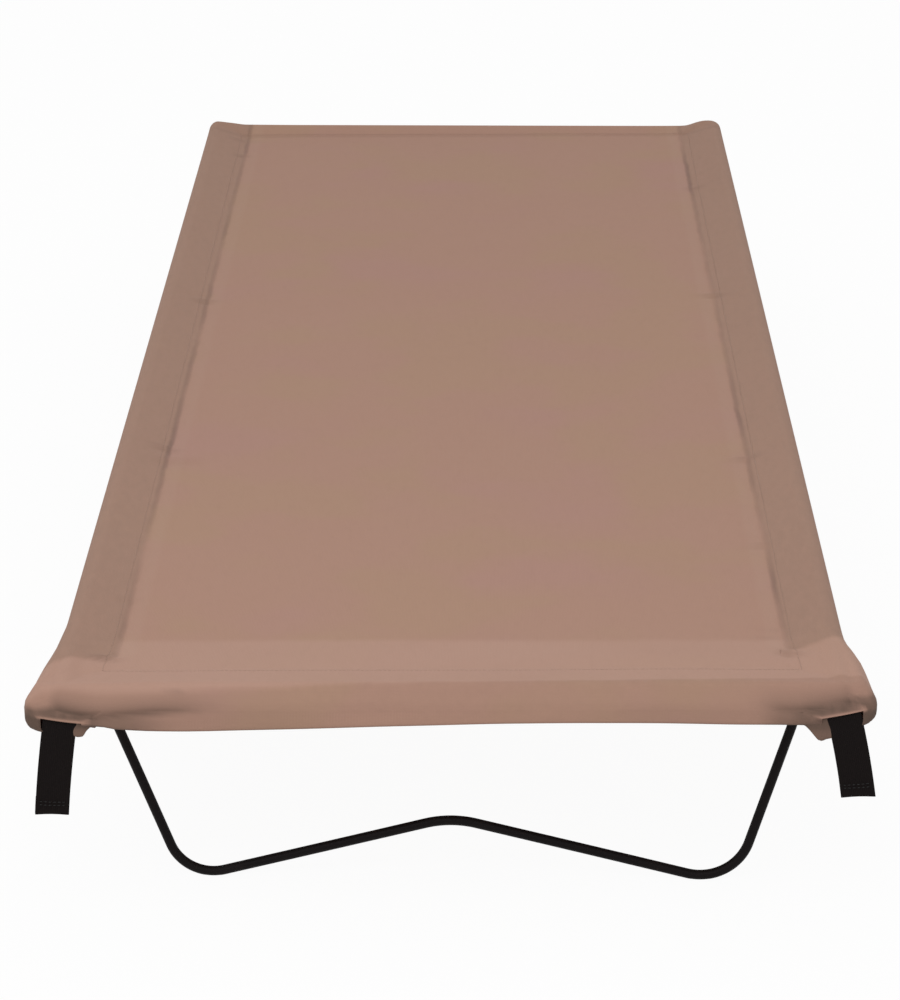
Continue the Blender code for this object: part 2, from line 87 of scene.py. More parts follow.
class Signal:
    """A number that varies over a surface; Python's operators on it add Math nodes."""

    def __init__(self, bench: "Bench", socket: Socket) -> None:
        """Keep the bench that makes the nodes and the socket that gives the number."""
        self.bench = bench
        self.socket = socket

    def _math(self, operation: str, *values: "Signal | float") -> "Signal":
        """Return the result of one Math node with these inputs."""
        node = self.bench.add("ShaderNodeMath", {"operation": operation}, *values)
        return Signal(self.bench, node.outputs[0])

    def __add__(self, other: "Signal | float") -> "Signal":
        """Return the sum."""
        return self._math("ADD", self, other)

    __radd__ = __add__

    def __sub__(self, other: "Signal | float") -> "Signal":
        """Return the difference."""
        return self._math("SUBTRACT", self, other)

    def __rsub__(self, other: "Signal | float") -> "Signal":
        """Return the difference, taken from the other value."""
        return self._math("SUBTRACT", other, self)

    def __mul__(self, other: "Signal | float") -> "Signal":
        """Return the product."""
        return self._math("MULTIPLY", self, other)

    __rmul__ = __mul__

    def __abs__(self) -> "Signal":
        """Return the size without its sign."""
        return self._math("ABSOLUTE", self)

    def sine(self) -> "Signal":
        """Return the sine of an angle in radians."""
        return self._math("SINE", self)

    def largest(self, other: "Signal | float") -> "Signal":
        """Return the larger of two values."""
        return self._math("MAXIMUM", self, other)

    def rise(self, start: float, end: float) -> "Signal":
        """Return a soft step from 0 to 1; its end may lie below its start.

        Args:
            start: the value at which it begins.
            end: the value at which it is complete.

        Returns:
            The step, 3t^2 - 2t^3 in between.
        """
        low, high = min(start, end), max(start, end)
        node = self.bench.add("ShaderNodeMapRange", {"interpolation_type": "SMOOTHSTEP"},
                              Value=self, **{"From Min": low, "From Max": high})
        step = Signal(self.bench, node.outputs["Result"])
        return step if start < end else 1.0 - step


class Bench:
    """The place where one shader's nodes are made and joined."""

    def __init__(self, tree: bpy.types.NodeTree, material: Material | None = None) -> None:
        """Keep what the nodes belong to; the coordinates' node is added once it is asked for.

        Args:
            tree: the node tree.
            material: the material that it belongs to, if it is a material's.
        """
        self.tree = tree
        self.material = material
        self.shader = tree.nodes.get("Principled BSDF")
        self._coordinates: bpy.types.Node | None = None

    @classmethod
    def for_material(cls, name: str) -> "Bench":
        """Start a material with one Principled shader.

        Args:
            name: the material's name.

        Returns:
            The bench for its nodes.
        """
        material = bpy.data.materials.new(name)
        material.use_nodes = True
        return cls(material.node_tree, material)

    def add(self, kind: str, settings: dict | None = None, *values: object,
            **named: object) -> bpy.types.Node:
        """Add a node.

        Args:
            kind: the node's type.
            settings: its settings, given before its sockets.
            values: what its first sockets get, in order.
            named: what its sockets of these names get.

        Returns:
            The new node.
        """
        node = self.tree.nodes.new(kind)
        for key, value in (settings or {}).items():
            setattr(node, key, value)
        for key, value in [*enumerate(values), *named.items()]:
            self.join(value, node.inputs[key])
        return node

    def join(self, value: object, socket: Socket) -> None:
        """Link a signal or a socket to a socket, or set the socket's own value.

        Args:
            value: a signal, a socket, a colour or another value.
            socket: the socket that gets it.
        """
        if isinstance(value, Signal):
            value = value.socket
        if isinstance(value, Socket):
            self.tree.links.new(value, socket)
        elif isinstance(value, tuple) and len(value) == 3 and socket.type == "RGBA":
            socket.default_value = (*value, 1.0)
        else:
            socket.default_value = value

    def coordinates(self) -> bpy.types.Node:
        """Return the node that gives the surface's coordinates, the same one each time.

        Returns:
            The node.
        """
        if self._coordinates is None:
            self._coordinates = self.add("ShaderNodeTexCoord")
        return self._coordinates

    def axes(self, output: str) -> tuple[Signal, ...]:
        """Return the parts of the surface's place (Object) or of its flat map (UV), in metres."""
        split = self.add("ShaderNodeSeparateXYZ", None, self.coordinates().outputs[output])
        return tuple(Signal(self, socket) for socket in split.outputs)

    def attribute(self, name: str) -> Signal:
        """Return a number that the mesh holds for each of its points."""
        node = self.add("ShaderNodeAttribute", {"attribute_name": name})
        return Signal(self, node.outputs["Fac"])

    def noise(self, size: float, detail: float = 2.0, stretch: Colour = (1, 1, 1)) -> Signal:
        """Return a cloudy pattern about 0.5.

        Args:
            size: the size of its patches in metres.
            detail: how many finer layers it has.
            stretch: how much the patches are drawn out along each axis.

        Returns:
            The pattern, from 0 to 1.
        """
        scale = tuple(1 / (size * share) for share in stretch)
        mapping = self.add("ShaderNodeMapping", None, self.coordinates().outputs["Object"],
                           Scale=scale)
        node = self.add("ShaderNodeTexNoise", None, mapping.outputs[0], Scale=1.0, Detail=detail)
        return Signal(self, node.outputs[0])

    def wave(self, place: Signal, pitch: float) -> Signal:
        """Return ridges from 0 to 1, a pitch apart: (1 + sin(2 pi place / pitch)) / 2."""
        return ((place * (2 * math.pi / pitch)).sine() + 1.0) * 0.5

    def mixed(self, first: object, second: object, share: Signal | float) -> Socket:
        """Return a colour between two colours by a share from 0 to 1.

        Args:
            first: the colour where the share is 0.
            second: the colour where it is 1.
            share: the share of the second colour.

        Returns:
            The colour's socket.
        """
        # The node's colours are its inputs 6 and 7 and its output 2
        node = self.add("ShaderNodeMix", {"data_type": "RGBA"})
        self.join(share, node.inputs[0])
        self.join(first, node.inputs[6])
        self.join(second, node.inputs[7])
        return node.outputs[2]

    def bump(self, height: Signal, depth: float, below: Socket | None = None) -> Socket:
        """Return a normal from a height of 0 to 1.

        Args:
            height: the relief's signal.
            depth: how far its full height stands, in metres.
            below: the normal of a coarser relief that it lies on.

        Returns:
            The normal's socket.
        """
        node = self.add("ShaderNodeBump", None, Distance=depth, Height=height)
        if below is not None:
            self.join(below, node.inputs["Normal"])
        return node.outputs[0]

    def finish(self, **sockets: object) -> Material:
        """Give the shader its values or links and return the material.

        Args:
            sockets: a value or a link for each of its sockets, _ in place of a space.

        Returns:
            The finished material.
        """
        for name, value in sockets.items():
            self.join(value, self.shader.inputs[name.replace("_", " ")])
        return self.material


# Finishes


@dataclass(frozen=True)
class CoverCloth:
    """Plain-woven coated polyester, with painted shade where the side sleeves are double.

    seam_x gives the sleeves' inner edge as (Y, X) at its two ends, band_ends and band_slants how
    the double cloth ends on the left and on the right, and crest the Y of the pocket's crest and
    its slope across the bed. The tones are shares of the dark or double cloth's colour.
    """

    seam_x: Knots
    band_ends: Pair
    band_slants: Pair
    near_start: float
    crest: Pair
    far_seam: float
    main: Colour = (0.396, 0.233, 0.174)
    olive: Colour = (0.392, 0.238, 0.168)
    pink: Colour = (0.398, 0.230, 0.182)
    # double: painted shade of the double cloth, which stops the light from below that single cloth
    # lets through
    double: Colour = (0.345, 0.212, 0.157)
    # near_band: painted light on the near band, which slopes up to the crest, towards the light
    near_band: Colour = (0.434, 0.265, 0.204)
    # dark: for the seam lines and flecks, and for painted shade
    dark: Colour = (0.118, 0.078, 0.060)
    # pale: painted highlights on the ridge inside the seams and on the lip over each strap
    pale: Colour = (0.480, 0.345, 0.270)
    main_patch: Pair = (0.38, 0.52)
    pink_drift: Pair = (0.02, 0.20)
    band_edge: float = 0.0025
    band_start: Pair = (-0.004, 0.008)
    near_edge: float = 0.007
    near_share: float = 0.85
    crest_edge: float = 0.003
    # painted highlight on the ridge just inside each sleeve's seam; stripe_edge also sets the far
    # hem line's width
    stripe_place: float = 0.010
    stripe_edge: Pair = (0.009, 0.002)
    stripe_share: float = 0.08
    seam_edge: Pair = (0.0040, 0.0005)
    seam_share: float = 0.28
    hem_share: float = 0.10
    fleck_share: float = 0.10
    # painted shade on the pocket's slope past the crest
    slope_tone: float = 0.09
    slope_z: Pair = (0.168, 0.177)
    band_tone: float = 0.90
    # the double band grows darker towards the near end
    wear: float = 0.05
    wear_y: Pair = (-0.30, -0.75)
    drift_size: float = 0.17
    patch_size: float = 0.13
    fleck_size: float = 0.006
    slub_size: float = 0.004
    wander_size: float = 0.035
    wander: float = 0.006
    thread_pitch: float = 0.0011
    thread_depth: float = 0.00012
    cockle_size: float = 0.022
    cockle_depth: float = 0.0005

    def seam_line(self, y: Signal) -> Signal:
        """Return how far from the middle the sleeves' seams lie, on a line along the bed.

        Args:
            y: the place along the bed.

        Returns:
            The distance from the middle, in metres.
        """
        (near_y, near_x), (far_y, far_x) = self.seam_x
        slope = (far_x - near_x) / (far_y - near_y)
        return y * slope + (near_x - slope * near_y)

    def ground(self, bench: Bench, drift: Signal) -> Socket:
        """Return the plain cloth's colour, which wanders between three close tones.

        Args:
            bench: the place where the nodes are made.
            drift: a slow noise round 0.

        Returns:
            The colour.
        """
        patch = bench.noise(self.patch_size, 2.0).rise(*self.main_patch)
        colour = bench.mixed(self.olive, self.main, patch)
        return bench.mixed(colour, self.pink, drift.rise(*self.pink_drift))

    def beside_sleeve(self, x: Signal, y: Signal, inward: Signal, wander: Signal) -> Signal:
        """Return how far a place lies past the near end of the sleeve's double cloth.

        Args:
            x: the place across the bed.
            y: the place along it.
            inward: how far it lies outside the sleeve's seam.
            wander: how far the double cloth's end wavers there.

        Returns:
            A share from 0, before the end, to 1, past it.
        """
        left = x.rise(0.001, -0.001)
        end = left * (self.band_ends[0] - self.band_ends[1]) + self.band_ends[1]
        slant = left * (self.band_slants[0] - self.band_slants[1]) + self.band_slants[1]
        return (y + wander - (end + slant * inward)).rise(*self.band_start)

    def relief(self, bench: Bench, weave: Signal) -> Socket:
        """Return the cloth's fine relief: cockles, and on them the weave and its slubs.

        Args:
            bench: the place where the nodes are made.
            weave: the height of the threads.

        Returns:
            The normal.
        """
        slub = bench.noise(self.slub_size, 1.0, (1.0, 12.0, 1.0))
        cockle = bench.noise(self.cockle_size, 3.0, (1.0, 1.6, 1.0))
        coarse = bench.bump(cockle, self.cockle_depth)
        return bench.bump(weave * 0.7 + slub * 0.6, self.thread_depth, coarse)

    def material(self) -> Material:
        """Return the cloth's material: weave, mottling, painted bands and painted fold shadows.

        Returns:
            The material.
        """
        bench = Bench.for_material("cover_cloth")
        x, y, z = bench.axes("Object")
        u, v, _ = bench.axes("UV")
        folds = bench.attribute("folds")
        drift = bench.noise(self.drift_size, 3.0) - 0.5
        fleck = bench.noise(self.fleck_size, 2.0, (1.0, 3.0, 1.0)) - 0.5
        wander = (bench.noise(self.wander_size, 2.0) - 0.5) * self.wander
        inward = abs(x) - self.seam_line(y) + wander * 0.5
        along = self.beside_sleeve(x, y, inward, wander)
        band = inward.rise(-self.band_edge, self.band_edge) * along
        # painted shade: the sleeves' double cloth is darker, for the light from below that single
        # cloth lets through
        colour = bench.mixed(self.ground(bench, drift), self.double,
                             band * (self.band_tone + fleck * 0.5))
        # painted light on the near band, fading past the crest and over the double bands
        near = (y + wander).rise(self.near_start + self.near_edge,
                                 self.near_start - self.near_edge)
        past_crest = y - x * self.crest[1] + wander * 0.5 - self.crest[0]
        past_crest = past_crest.rise(self.crest_edge, -self.crest_edge)
        near = near * (1.0 - past_crest * self.near_share) * (1.0 - band)
        colour = bench.mixed(colour, self.near_band, near * (self.near_share + drift))
        # painted highlight on the ridge just inside the seam
        ridge_highlight = abs(inward + self.stripe_place).rise(*self.stripe_edge) * along
        colour = bench.mixed(colour, self.pale, ridge_highlight * self.stripe_share)
        edge = abs(inward + 0.001).rise(*self.seam_edge) * along * (self.seam_share + drift)
        hem = abs(y - self.far_seam).rise(*self.stripe_edge) * self.hem_share
        # painted shade on the pocket's slope past the crest
        slope = past_crest * z.rise(*self.slope_z) * self.slope_tone
        # the double band grows darker towards the near end
        worn = band * y.rise(*self.wear_y) * self.wear
        dark = edge.largest(hem) + slope + worn + fleck * self.fleck_share
        # painted shade from the mesh's folds attribute, and painted highlight where it is negative
        colour = bench.mixed(colour, self.dark, dark.largest(folds))
        colour = bench.mixed(colour, self.pale, (folds * -1.0).largest(0.0))
        weave = bench.wave(u, self.thread_pitch) * bench.wave(v, self.thread_pitch)
        return bench.finish(Base_Color=colour, Roughness=0.80 + drift * 0.12 + weave * 0.05,
                            Sheen_Weight=0.03, Sheen_Roughness=0.5, Specular_IOR_Level=0.10,
                            Normal=self.relief(bench, weave))


@dataclass(frozen=True)
class Webbing:
    """Black ribbed webbing of the pull straps; its map runs across and down the strap."""

    main: Colour = (0.0072, 0.0052, 0.0050)
    worn: Colour = (0.0150, 0.0112, 0.0106)
    rib_pitch: float = 0.0014
    pick_pitch: float = 0.0011
    lint_size: float = 0.003
    depth: float = 0.00035

    def material(self) -> Material:
        """Return the webbing's material: ribs along it, picks across, paler on the ribs.

        Returns:
            The material.
        """
        bench = Bench.for_material("strap_webbing")
        u, v, _ = bench.axes("UV")
        rib = bench.wave(u, self.rib_pitch)
        pick = bench.wave(v + rib.rise(0.45, 0.55) * (self.pick_pitch / 2), self.pick_pitch)
        relief = rib * 0.6 + pick * 0.4
        lint = bench.noise(self.lint_size, 3.0)
        return bench.finish(Base_Color=bench.mixed(self.main, self.worn, relief * lint),
                            Roughness=0.78 + lint * 0.12, Specular_IOR_Level=0.08,
                            Normal=bench.bump(relief, self.depth))


@dataclass(frozen=True)
class Thread:
    """Twisted polyester sewing thread."""

    name: str
    main: Colour
    light: Colour
    twist_pitch: float = 0.0007
    depth: float = 0.00005

    def material(self) -> Material:
        """Return the thread's material, with its twist as slanting bands.

        Returns:
            The material.
        """
        bench = Bench.for_material(self.name)
        u, v, _ = bench.axes("UV")
        twist = bench.wave(u + v, self.twist_pitch)
        return bench.finish(Base_Color=bench.mixed(self.main, self.light, twist * 0.6),
                            Roughness=0.55 + twist * 0.1, Normal=bench.bump(twist, self.depth))


@dataclass(frozen=True)
class PowderCoat:
    """Black satin powder coat on steel tube and wire, with a fine orange peel."""

    name: str
    main: Colour = (0.0075, 0.0056, 0.0058)
    dusty: Colour = (0.0110, 0.0088, 0.0088)
    patch_size: float = 0.05
    peel_size: float = 0.0016
    peel_depth: float = 0.00006

    def material(self) -> Material:
        """Return the coat's material, with dusty patches and orange peel.

        Returns:
            The material.
        """
        bench = Bench.for_material(self.name)
        patch = bench.noise(self.patch_size, 3.0)
        peel = bench.noise(self.peel_size, 2.0)
        return bench.finish(Base_Color=bench.mixed(self.main, self.dusty, patch.rise(0.45, 0.75)),
                            Roughness=0.40 + patch * 0.2, Specular_IOR_Level=0.08,
                            Normal=bench.bump(peel, self.peel_depth))


@dataclass(frozen=True)
class MouldedNylon:
    """Black moulded nylon of the corner elbows."""

    main: Colour = (0.018, 0.018, 0.018)
    pale: Colour = (0.030, 0.030, 0.029)
    grain_size: float = 0.0008
    grain_depth: float = 0.00005
    flow_size: float = 0.02

    def material(self) -> Material:
        """Return the moulding's material, with a spark-eroded grain and flow marks.

        Returns:
            The material.
        """
        bench = Bench.for_material("moulded_nylon")
        grain = bench.noise(self.grain_size, 3.0)
        flow = bench.noise(self.flow_size, 2.0)
        return bench.finish(Base_Color=bench.mixed(self.main, self.pale, flow.rise(0.4, 0.8)),
                            Roughness=0.4 + grain * 0.2,
                            Normal=bench.bump(grain, self.grain_depth))


@dataclass(frozen=True)
class BareMetal:
    """Uncoated metal of ferrules and rivets, with marks drawn out one way."""

    name: str
    main: Colour
    dull: Colour
    roughness: float
    stretch: Colour
    streak_size: float = 0.0010
    streak_depth: float = 0.00003
    patch_size: float = 0.012

    def material(self) -> Material:
        """Return the metal's material: drawn streaks, dull patches and fine scratches.

        Returns:
            The material.
        """
        bench = Bench.for_material(self.name)
        streak = bench.noise(self.streak_size, 3.0, self.stretch)
        patch = bench.noise(self.patch_size, 2.0)
        return bench.finish(Base_Color=bench.mixed(self.main, self.dull, patch.rise(0.4, 0.8)),
                            Metallic=1.0, Roughness=streak * 0.25 + (self.roughness - 0.12),
                            Normal=bench.bump(streak, self.streak_depth))


# Surfaces


def smooth(value: Array | float, start: float, end: float) -> Array:
    """Return a soft step: 0 before start, 1 after end, 3t^2 - 2t^3 between."""
    t = np.clip((value - start) / (end - start), 0.0, 1.0)
    return t * t * (3 - 2 * t)


def blended(first: Array | float, second: Array | float, share: Array | float) -> Array:
    """Return first where share is 0 and second where it is 1."""
    return first + (second - first) * share


def bell(value: Array, centre: Array | float, width: float) -> Array:
    """Return a bell curve: exp(-((value - centre) / width)^2)."""
    return np.exp(-(((value - centre) / width) ** 2))


def eased(value: Array, knots: Knots, reach: float, samples: int = 7) -> Array:
    """Return the height of a line through knots, with its corners eased.

    It is the mean of the line's heights at places spread evenly over the reach on both sides.

    Args:
        value: the places along the line.
        knots: the line's corners as (place, height).
        reach: how far the mean reaches each way.
        samples: how many places it takes.

    Returns:
        The height at each place.
    """
    spots, heights = np.array(knots).T
    shifts = np.linspace(-reach, reach, samples)
    return sum(np.interp(value + shift, spots, heights) for shift in shifts) / len(shifts)


def evenly(line: Array, step: float) -> Array:
    """Return points along a line about a step apart, with its own points kept.

    Args:
        line: the line's points.
        step: the distance between new points.

    Returns:
        The points, the line's own among them.
    """
    gaps = np.linalg.norm(np.diff(line, axis=0), axis=1)
    runs = [np.linspace(a, b, max(1, round(gap / step)), endpoint=False)
            for a, b, gap in zip(line[:-1], line[1:], gaps)]
    return np.concatenate([*runs, line[-1:]])


def walked(line: Array) -> Array:
    """Return how far along a line each of its points lies."""
    return np.concatenate([[0.0], np.cumsum(np.linalg.norm(np.diff(line, axis=0), axis=1))])


def lattice(index: Array, closed: bool = False) -> Array:
    """Return the four-cornered faces of a grid of point numbers.

    Args:
        index: the grid; its rows run along the first direction.
        closed: whether the last row joins the first.

    Returns:
        The corners' numbers, one face a line.
    """
    after = np.roll(index, -1, axis=0) if closed else index[1:]
    here = index if closed else index[:-1]
    corners = (here[:, :-1], here[:, 1:], after[:, 1:], after[:, :-1])
    return np.stack(corners, axis=-1).reshape(-1, 4)


def make_mesh(name: str, points: Array, faces: list, chart: Array,
              material: Material) -> bpy.types.Object:
    """Make a smooth mesh object.

    Args:
        name: the object's name.
        points: the places of its points.
        faces: the point numbers of each face.
        chart: each point's place on the flat map, for patterns.
        material: its material.

    Returns:
        The object, at the origin.
    """
    mesh = bpy.data.meshes.new(name)
    mesh.from_pydata(points.tolist(), [], faces)
    layer = mesh.uv_layers.new(name="UVMap")
    corners = np.zeros(len(mesh.loops), np.int32)
    mesh.loops.foreach_get("vertex_index", corners)
    layer.data.foreach_set("uv", chart[corners].astype(np.float32).ravel())
    mesh.materials.append(material)
    mesh.shade_smooth()
    obj = bpy.data.objects.new(name, mesh)
    bpy.context.scene.collection.objects.link(obj)
    return obj


def swept(line: Array, profile_across: Array, profile_out: Array) -> tuple[Array, list, Array]:
    """Carry a closed profile along a line in the plane of its two coordinates.

    Point (i, j) is line[i] + normal[i] * out[i, j], and lies across[i, j] off the plane.

    Args:
        line: the line's points.
        profile_across: each point's distance off the plane, a row for each point of the line.
        profile_out: each point's distance along the line's normal.

    Returns:
        The points as (across, first, second), the faces with both ends closed, and the map.
    """
    heading = np.gradient(line, axis=0)
    heading /= np.linalg.norm(heading, axis=1)[:, None]
    first = line[:, :1] - heading[:, 1:] * profile_out
    second = line[:, 1:] + heading[:, :1] * profile_out
    points = np.stack([profile_across, first, second], axis=-1)
    rows, columns = profile_out.shape
    index = np.arange(rows * columns).reshape(rows, columns)
    faces = lattice(index.T, closed=True).tolist()
    faces += [index[0][::-1].tolist(), index[-1].tolist()]
    chart = np.stack([profile_across, np.repeat(walked(line)[:, None], columns, axis=1)], axis=-1)
    return points.reshape(-1, 3), faces, chart.reshape(-1, 2)


@dataclass(frozen=True)
class Ripples:
    """Soft random waves: a sum of sines, each of its own direction, length and phase."""

    height: float
    shortest: float
    longest: float
    seed: int
    lean: float = 0.0
    spread: float = math.pi
    count: int = 18

    def at(self, x: Array, y: Array) -> Array:
        """Return the waves' height at points (x, y); most stays within the given height.

        Args:
            x: the points' first coordinate.
            y: their second coordinate.

        Returns:
            The height at each point.
        """
        rng = np.random.default_rng(self.seed)
        angle = self.lean + rng.uniform(-0.5, 0.5, self.count) * self.spread
        length = rng.uniform(self.shortest, self.longest, self.count)
        phase = rng.uniform(0, 2 * math.pi, self.count)
        along = np.multiply.outer(x, np.cos(angle)) + np.multiply.outer(y, np.sin(angle))
        waves = np.sin(2 * math.pi * along / length + phase)
        return self.height * waves.sum(axis=-1) / math.sqrt(2 * self.count)


# The bed's places


@dataclass(frozen=True)
class Bed:
    """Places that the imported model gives: its ends, rails, corners, legs and strap roots."""

    near_end: float
    far_end: float
    top: float
    rest_z: float
    rail_x: float
    rail_z: float
    rail_radius: float
    corners: Pair
    wire_radius: float
    stations: tuple[float, ...]
    roots: dict[Side, Vector]

    @classmethod
    def from_frame(cls) -> "Bed":
        """Read the places from the model's boxes, mounts and joints.

        Returns:
            The bed's places.
        """
        record = frame["record"]
        joints = {joint["name"]: joint["pos_m"] for joint in record["behaviour"]["joints"]}
        mounts = {mount["name"]: mount["pos_m"] for mount in record["mounts"]}
        low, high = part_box("cover")
        rail_low, rail_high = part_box("rail_right_1")
        radius = (rail_high.x - rail_low.x) / 2
        elbow_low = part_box("corner_elbow_near_left")[0]
        elbow_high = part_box("corner_elbow_far_left")[1]
        leg_low, leg_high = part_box("leg_1")
        legs = sorted(name for name in joints if name.startswith("leg_"))
        return cls(near_end=low.y, far_end=high.y, top=high.z, rest_z=mounts["bed_surface"][2],
                   rail_x=rail_low.x + radius, rail_z=rail_low.z + radius, rail_radius=radius,
                   corners=(elbow_low.y + radius, elbow_high.y - radius),
                   wire_radius=(leg_high.y - leg_low.y) / 2,
                   stations=tuple(joints[name][1] for name in legs),
                   roots={side: Vector(joints[f"strap_{side.word}_swing"]) for side in Side})


# Cover


@dataclass(frozen=True)
class Pucker:
    """A short fold that pulls at a seam.

    Its height is depth times a bell along its lean and a damped cosine across it.
    """

    x: float
    y: float
    depth: float
    reach: float
    width: float
    lean: float = 0.0
    shade: float = 0.3
    ridge_share: float = 0.6
    shadow_share: float = 0.28
    shadow_shift: float = 0.2

    def turned(self, x: Array, y: Array) -> tuple[Array, Array]:
        """Return where points lie in the fold's own directions.

        Args:
            x: the points' X.
            y: their Y.

        Returns:
            How far they lie along the fold, and across it.
        """
        dx, dy = x - self.x, y - self.y
        along = dx * math.cos(self.lean) + dy * math.sin(self.lean)
        return along, dy * math.cos(self.lean) - dx * math.sin(self.lean)

    def height(self, x: Array, y: Array) -> Array:
        """Return the fold's height.

        Args:
            x: the points' X.
            y: their Y.

        Returns:
            The height at each point.
        """
        along, across = self.turned(x, y)
        ridge = np.cos(2 * math.pi * across / self.width)
        ridge = ridge * bell(across, 0.0, self.width * self.ridge_share)
        return self.depth * ridge * bell(along, 0.0, self.reach)

    def shadow(self, x: Array, y: Array) -> Array:
        """Return the fold's shadow, on its near slope.

        Args:
            x: the points' X.
            y: their Y.

        Returns:
            The share of shadow at each point.
        """
        along, across = self.turned(x, y)
        slope = bell(across, -self.width * self.shadow_shift, self.width * self.shadow_share)
        return self.shade * slope * bell(along, 0.0, self.reach)


@dataclass(frozen=True)
class Crease:
    """A crease on the pocket's front, lowest at (x, z), X counted outwards from the middle.

    Outwards it climbs as a parabola over (run, rise), and inwards as a straight line.
    """

    x: float
    z: float
    outward: Pair
    inward: Pair
    fade: Pair
    groove_width: float = 0.0026
    swell_share: float = 0.5
    swell_place: Pair = (0.003, 0.005)
    lip_share: float = 0.55
    lip_place: Pair = (-0.0062, 0.0034)
    shadow_height: float = 0.0070
    shadow_edge: float = 0.0030

    def above(self, out: Array, z: Array) -> Array:
        """Return how far points lie above the crease.

        Args:
            out: their distance outwards from the middle.
            z: their height.

        Returns:
            The distance up from the crease's line at each point.
        """
        away = out - self.x
        climb = self.outward[1] * (np.clip(away, 0, None) / self.outward[0]) ** 2
        slope = self.inward[1] * np.clip(-away, 0, None) / self.inward[0]
        return z - self.z - climb - slope

    def depth(self, out: Array, z: Array) -> Array:
        """Return the crease's relief, a groove with a wide swell above and a lip below.

        Args:
            out: the points' distance outwards from the middle.
            z: their height.

        Returns:
            About 1 in the groove and less than 0 on the lip.
        """
        above = self.above(out, z)
        groove = bell(above, 0.0, self.groove_width)
        groove = groove + self.swell_share * bell(above, *self.swell_place)
        return (groove - self.lip_share * bell(above, *self.lip_place)) * smooth(out, *self.fade)

    def shadow(self, out: Array, z: Array) -> Array:
        """Return the crease's shadow: sharp below it, fading upwards.

        Args:
            out: the points' distance outwards from the middle.
            z: their height.

        Returns:
            The share of shadow at each point.
        """
        above = self.above(out, z)
        dark = np.where(above > 0, np.exp(-above / self.shadow_height),
                        bell(above, 0.0, self.shadow_edge))
        return dark * smooth(out, *self.fade)


@dataclass(frozen=True)
class PocketCorner:
    """How the loose cloth lies at one near corner, X counted outwards from the middle.

    swell holds (distance from the near end, share of the widening), far_knob the X and the
    height by which the same side's far elbow lifts the cloth, and tuck the lower edge of the
    small fold beside the strap as (X, Z). The sleeve's double cloth ends at the Y band_end, at
    a slant, and the corner's shaded cap reaches up to cap_top. puckers lists the folds along
    the side's seam as (distance outside it, Y, depth, reach, width, lean, share of shadow).
    """

    side: Side
    reach: float
    low: float
    swell: Knots
    low_round: float
    far_knob: Pair
    band_end: float
    band_slant: float
    cap_top: float
    lip_z: float
    lip_slope: float
    crease: Crease
    tuck: Knots
    puckers: tuple[tuple[float, ...], ...]

    def lip(self, out: Array, strap_x: float) -> Array:
        """Return the height of the pocket's edge over the strap."""
        return self.lip_z + self.lip_slope * (out - strap_x)


LEFT_CORNER = PocketCorner(
    side=Side.LEFT, reach=0.3190, low=0.1540,
    swell=((0.008, 1.0), (0.020, 0.78), (0.034, 0.74), (0.050, 0.64), (0.098, 0.18),
           (0.150, 0.0)),
    low_round=0.010, far_knob=(0.2925, 0.0026),
    band_end=-0.818, band_slant=-0.60, cap_top=0.1780, lip_z=0.1652, lip_slope=0.13,
    crease=Crease(x=0.2580, z=0.1672, outward=(0.0453, 0.0118), inward=(0.092, 0.0085),
                  fade=(0.155, 0.225)),
    tuck=((0.2625, 0.1617), (0.2640, 0.1584), (0.2680, 0.1594), (0.2712, 0.1562),
          (0.2735, 0.1519), (0.2770, 0.1514), (0.2850, 0.1530)),
    puckers=((0.011, -0.8170, 0.0022, 0.011, 0.018, 0.05, 0.34),
             (0.026, -0.7990, 0.0008, 0.020, 0.022, -0.30, 0.12),
             (0.007, -0.6820, 0.0010, 0.012, 0.022, 0.20, 0.10),
             (0.003, -0.3010, 0.0020, 0.014, 0.020, -0.30, 0.22),
             (-0.004, -0.3300, 0.0010, 0.024, 0.036, 0.10, 0.08),
             (0.002, 0.1710, 0.0020, 0.013, 0.022, 0.30, 0.20),
             (-0.001, 0.7740, 0.0016, 0.008, 0.020, 0.00, 0.30),
             (0.004, 0.8450, 0.0012, 0.016, 0.022, 0.00, 0.14)))

RIGHT_CORNER = PocketCorner(
    side=Side.RIGHT, reach=0.3164, low=0.1570,
    swell=((0.008, 1.0), (0.020, 0.88), (0.034, 0.86), (0.066, 0.67), (0.082, 0.48),
           (0.106, 0.05), (0.130, 0.0)),
    low_round=0.011, far_knob=(0.2895, 0.0010),
    band_end=-0.804, band_slant=0.20, cap_top=0.1835, lip_z=0.1690, lip_slope=0.19,
    crease=Crease(x=0.2520, z=0.1713, outward=(0.0505, 0.0106), inward=(0.030, 0.0060),
                  fade=(0.220, 0.250)),
    tuck=((0.2560, 0.1618), (0.2597, 0.1605), (0.2626, 0.1589), (0.2656, 0.1557),
          (0.2685, 0.1519), (0.2715, 0.1481), (0.2744, 0.1472), (0.2774, 0.1486),
          (0.2850, 0.1500)),
    puckers=((0.003, -0.8040, 0.0022, 0.013, 0.018, -0.80, 0.24),
             (-0.006, -0.7640, 0.0012, 0.016, 0.010, 0.10, 0.12),
             (-0.004, -0.7480, 0.0010, 0.014, 0.010, 0.00, 0.08),
             (-0.005, -0.5550, 0.0012, 0.012, 0.022, 0.20, 0.12),
             (-0.003, -0.3300, 0.0020, 0.014, 0.020, 0.30, 0.20),
             (-0.001, 0.1870, 0.0020, 0.014, 0.022, -0.30, 0.20),
             (-0.001, 0.6190, 0.0014, 0.010, 0.022, 0.10, 0.20)))


class Zone(Enum):
    """The part of the outline that one of the strip's columns folds over."""

    POCKET = 0
    SIDE = 1
    HEM = 2


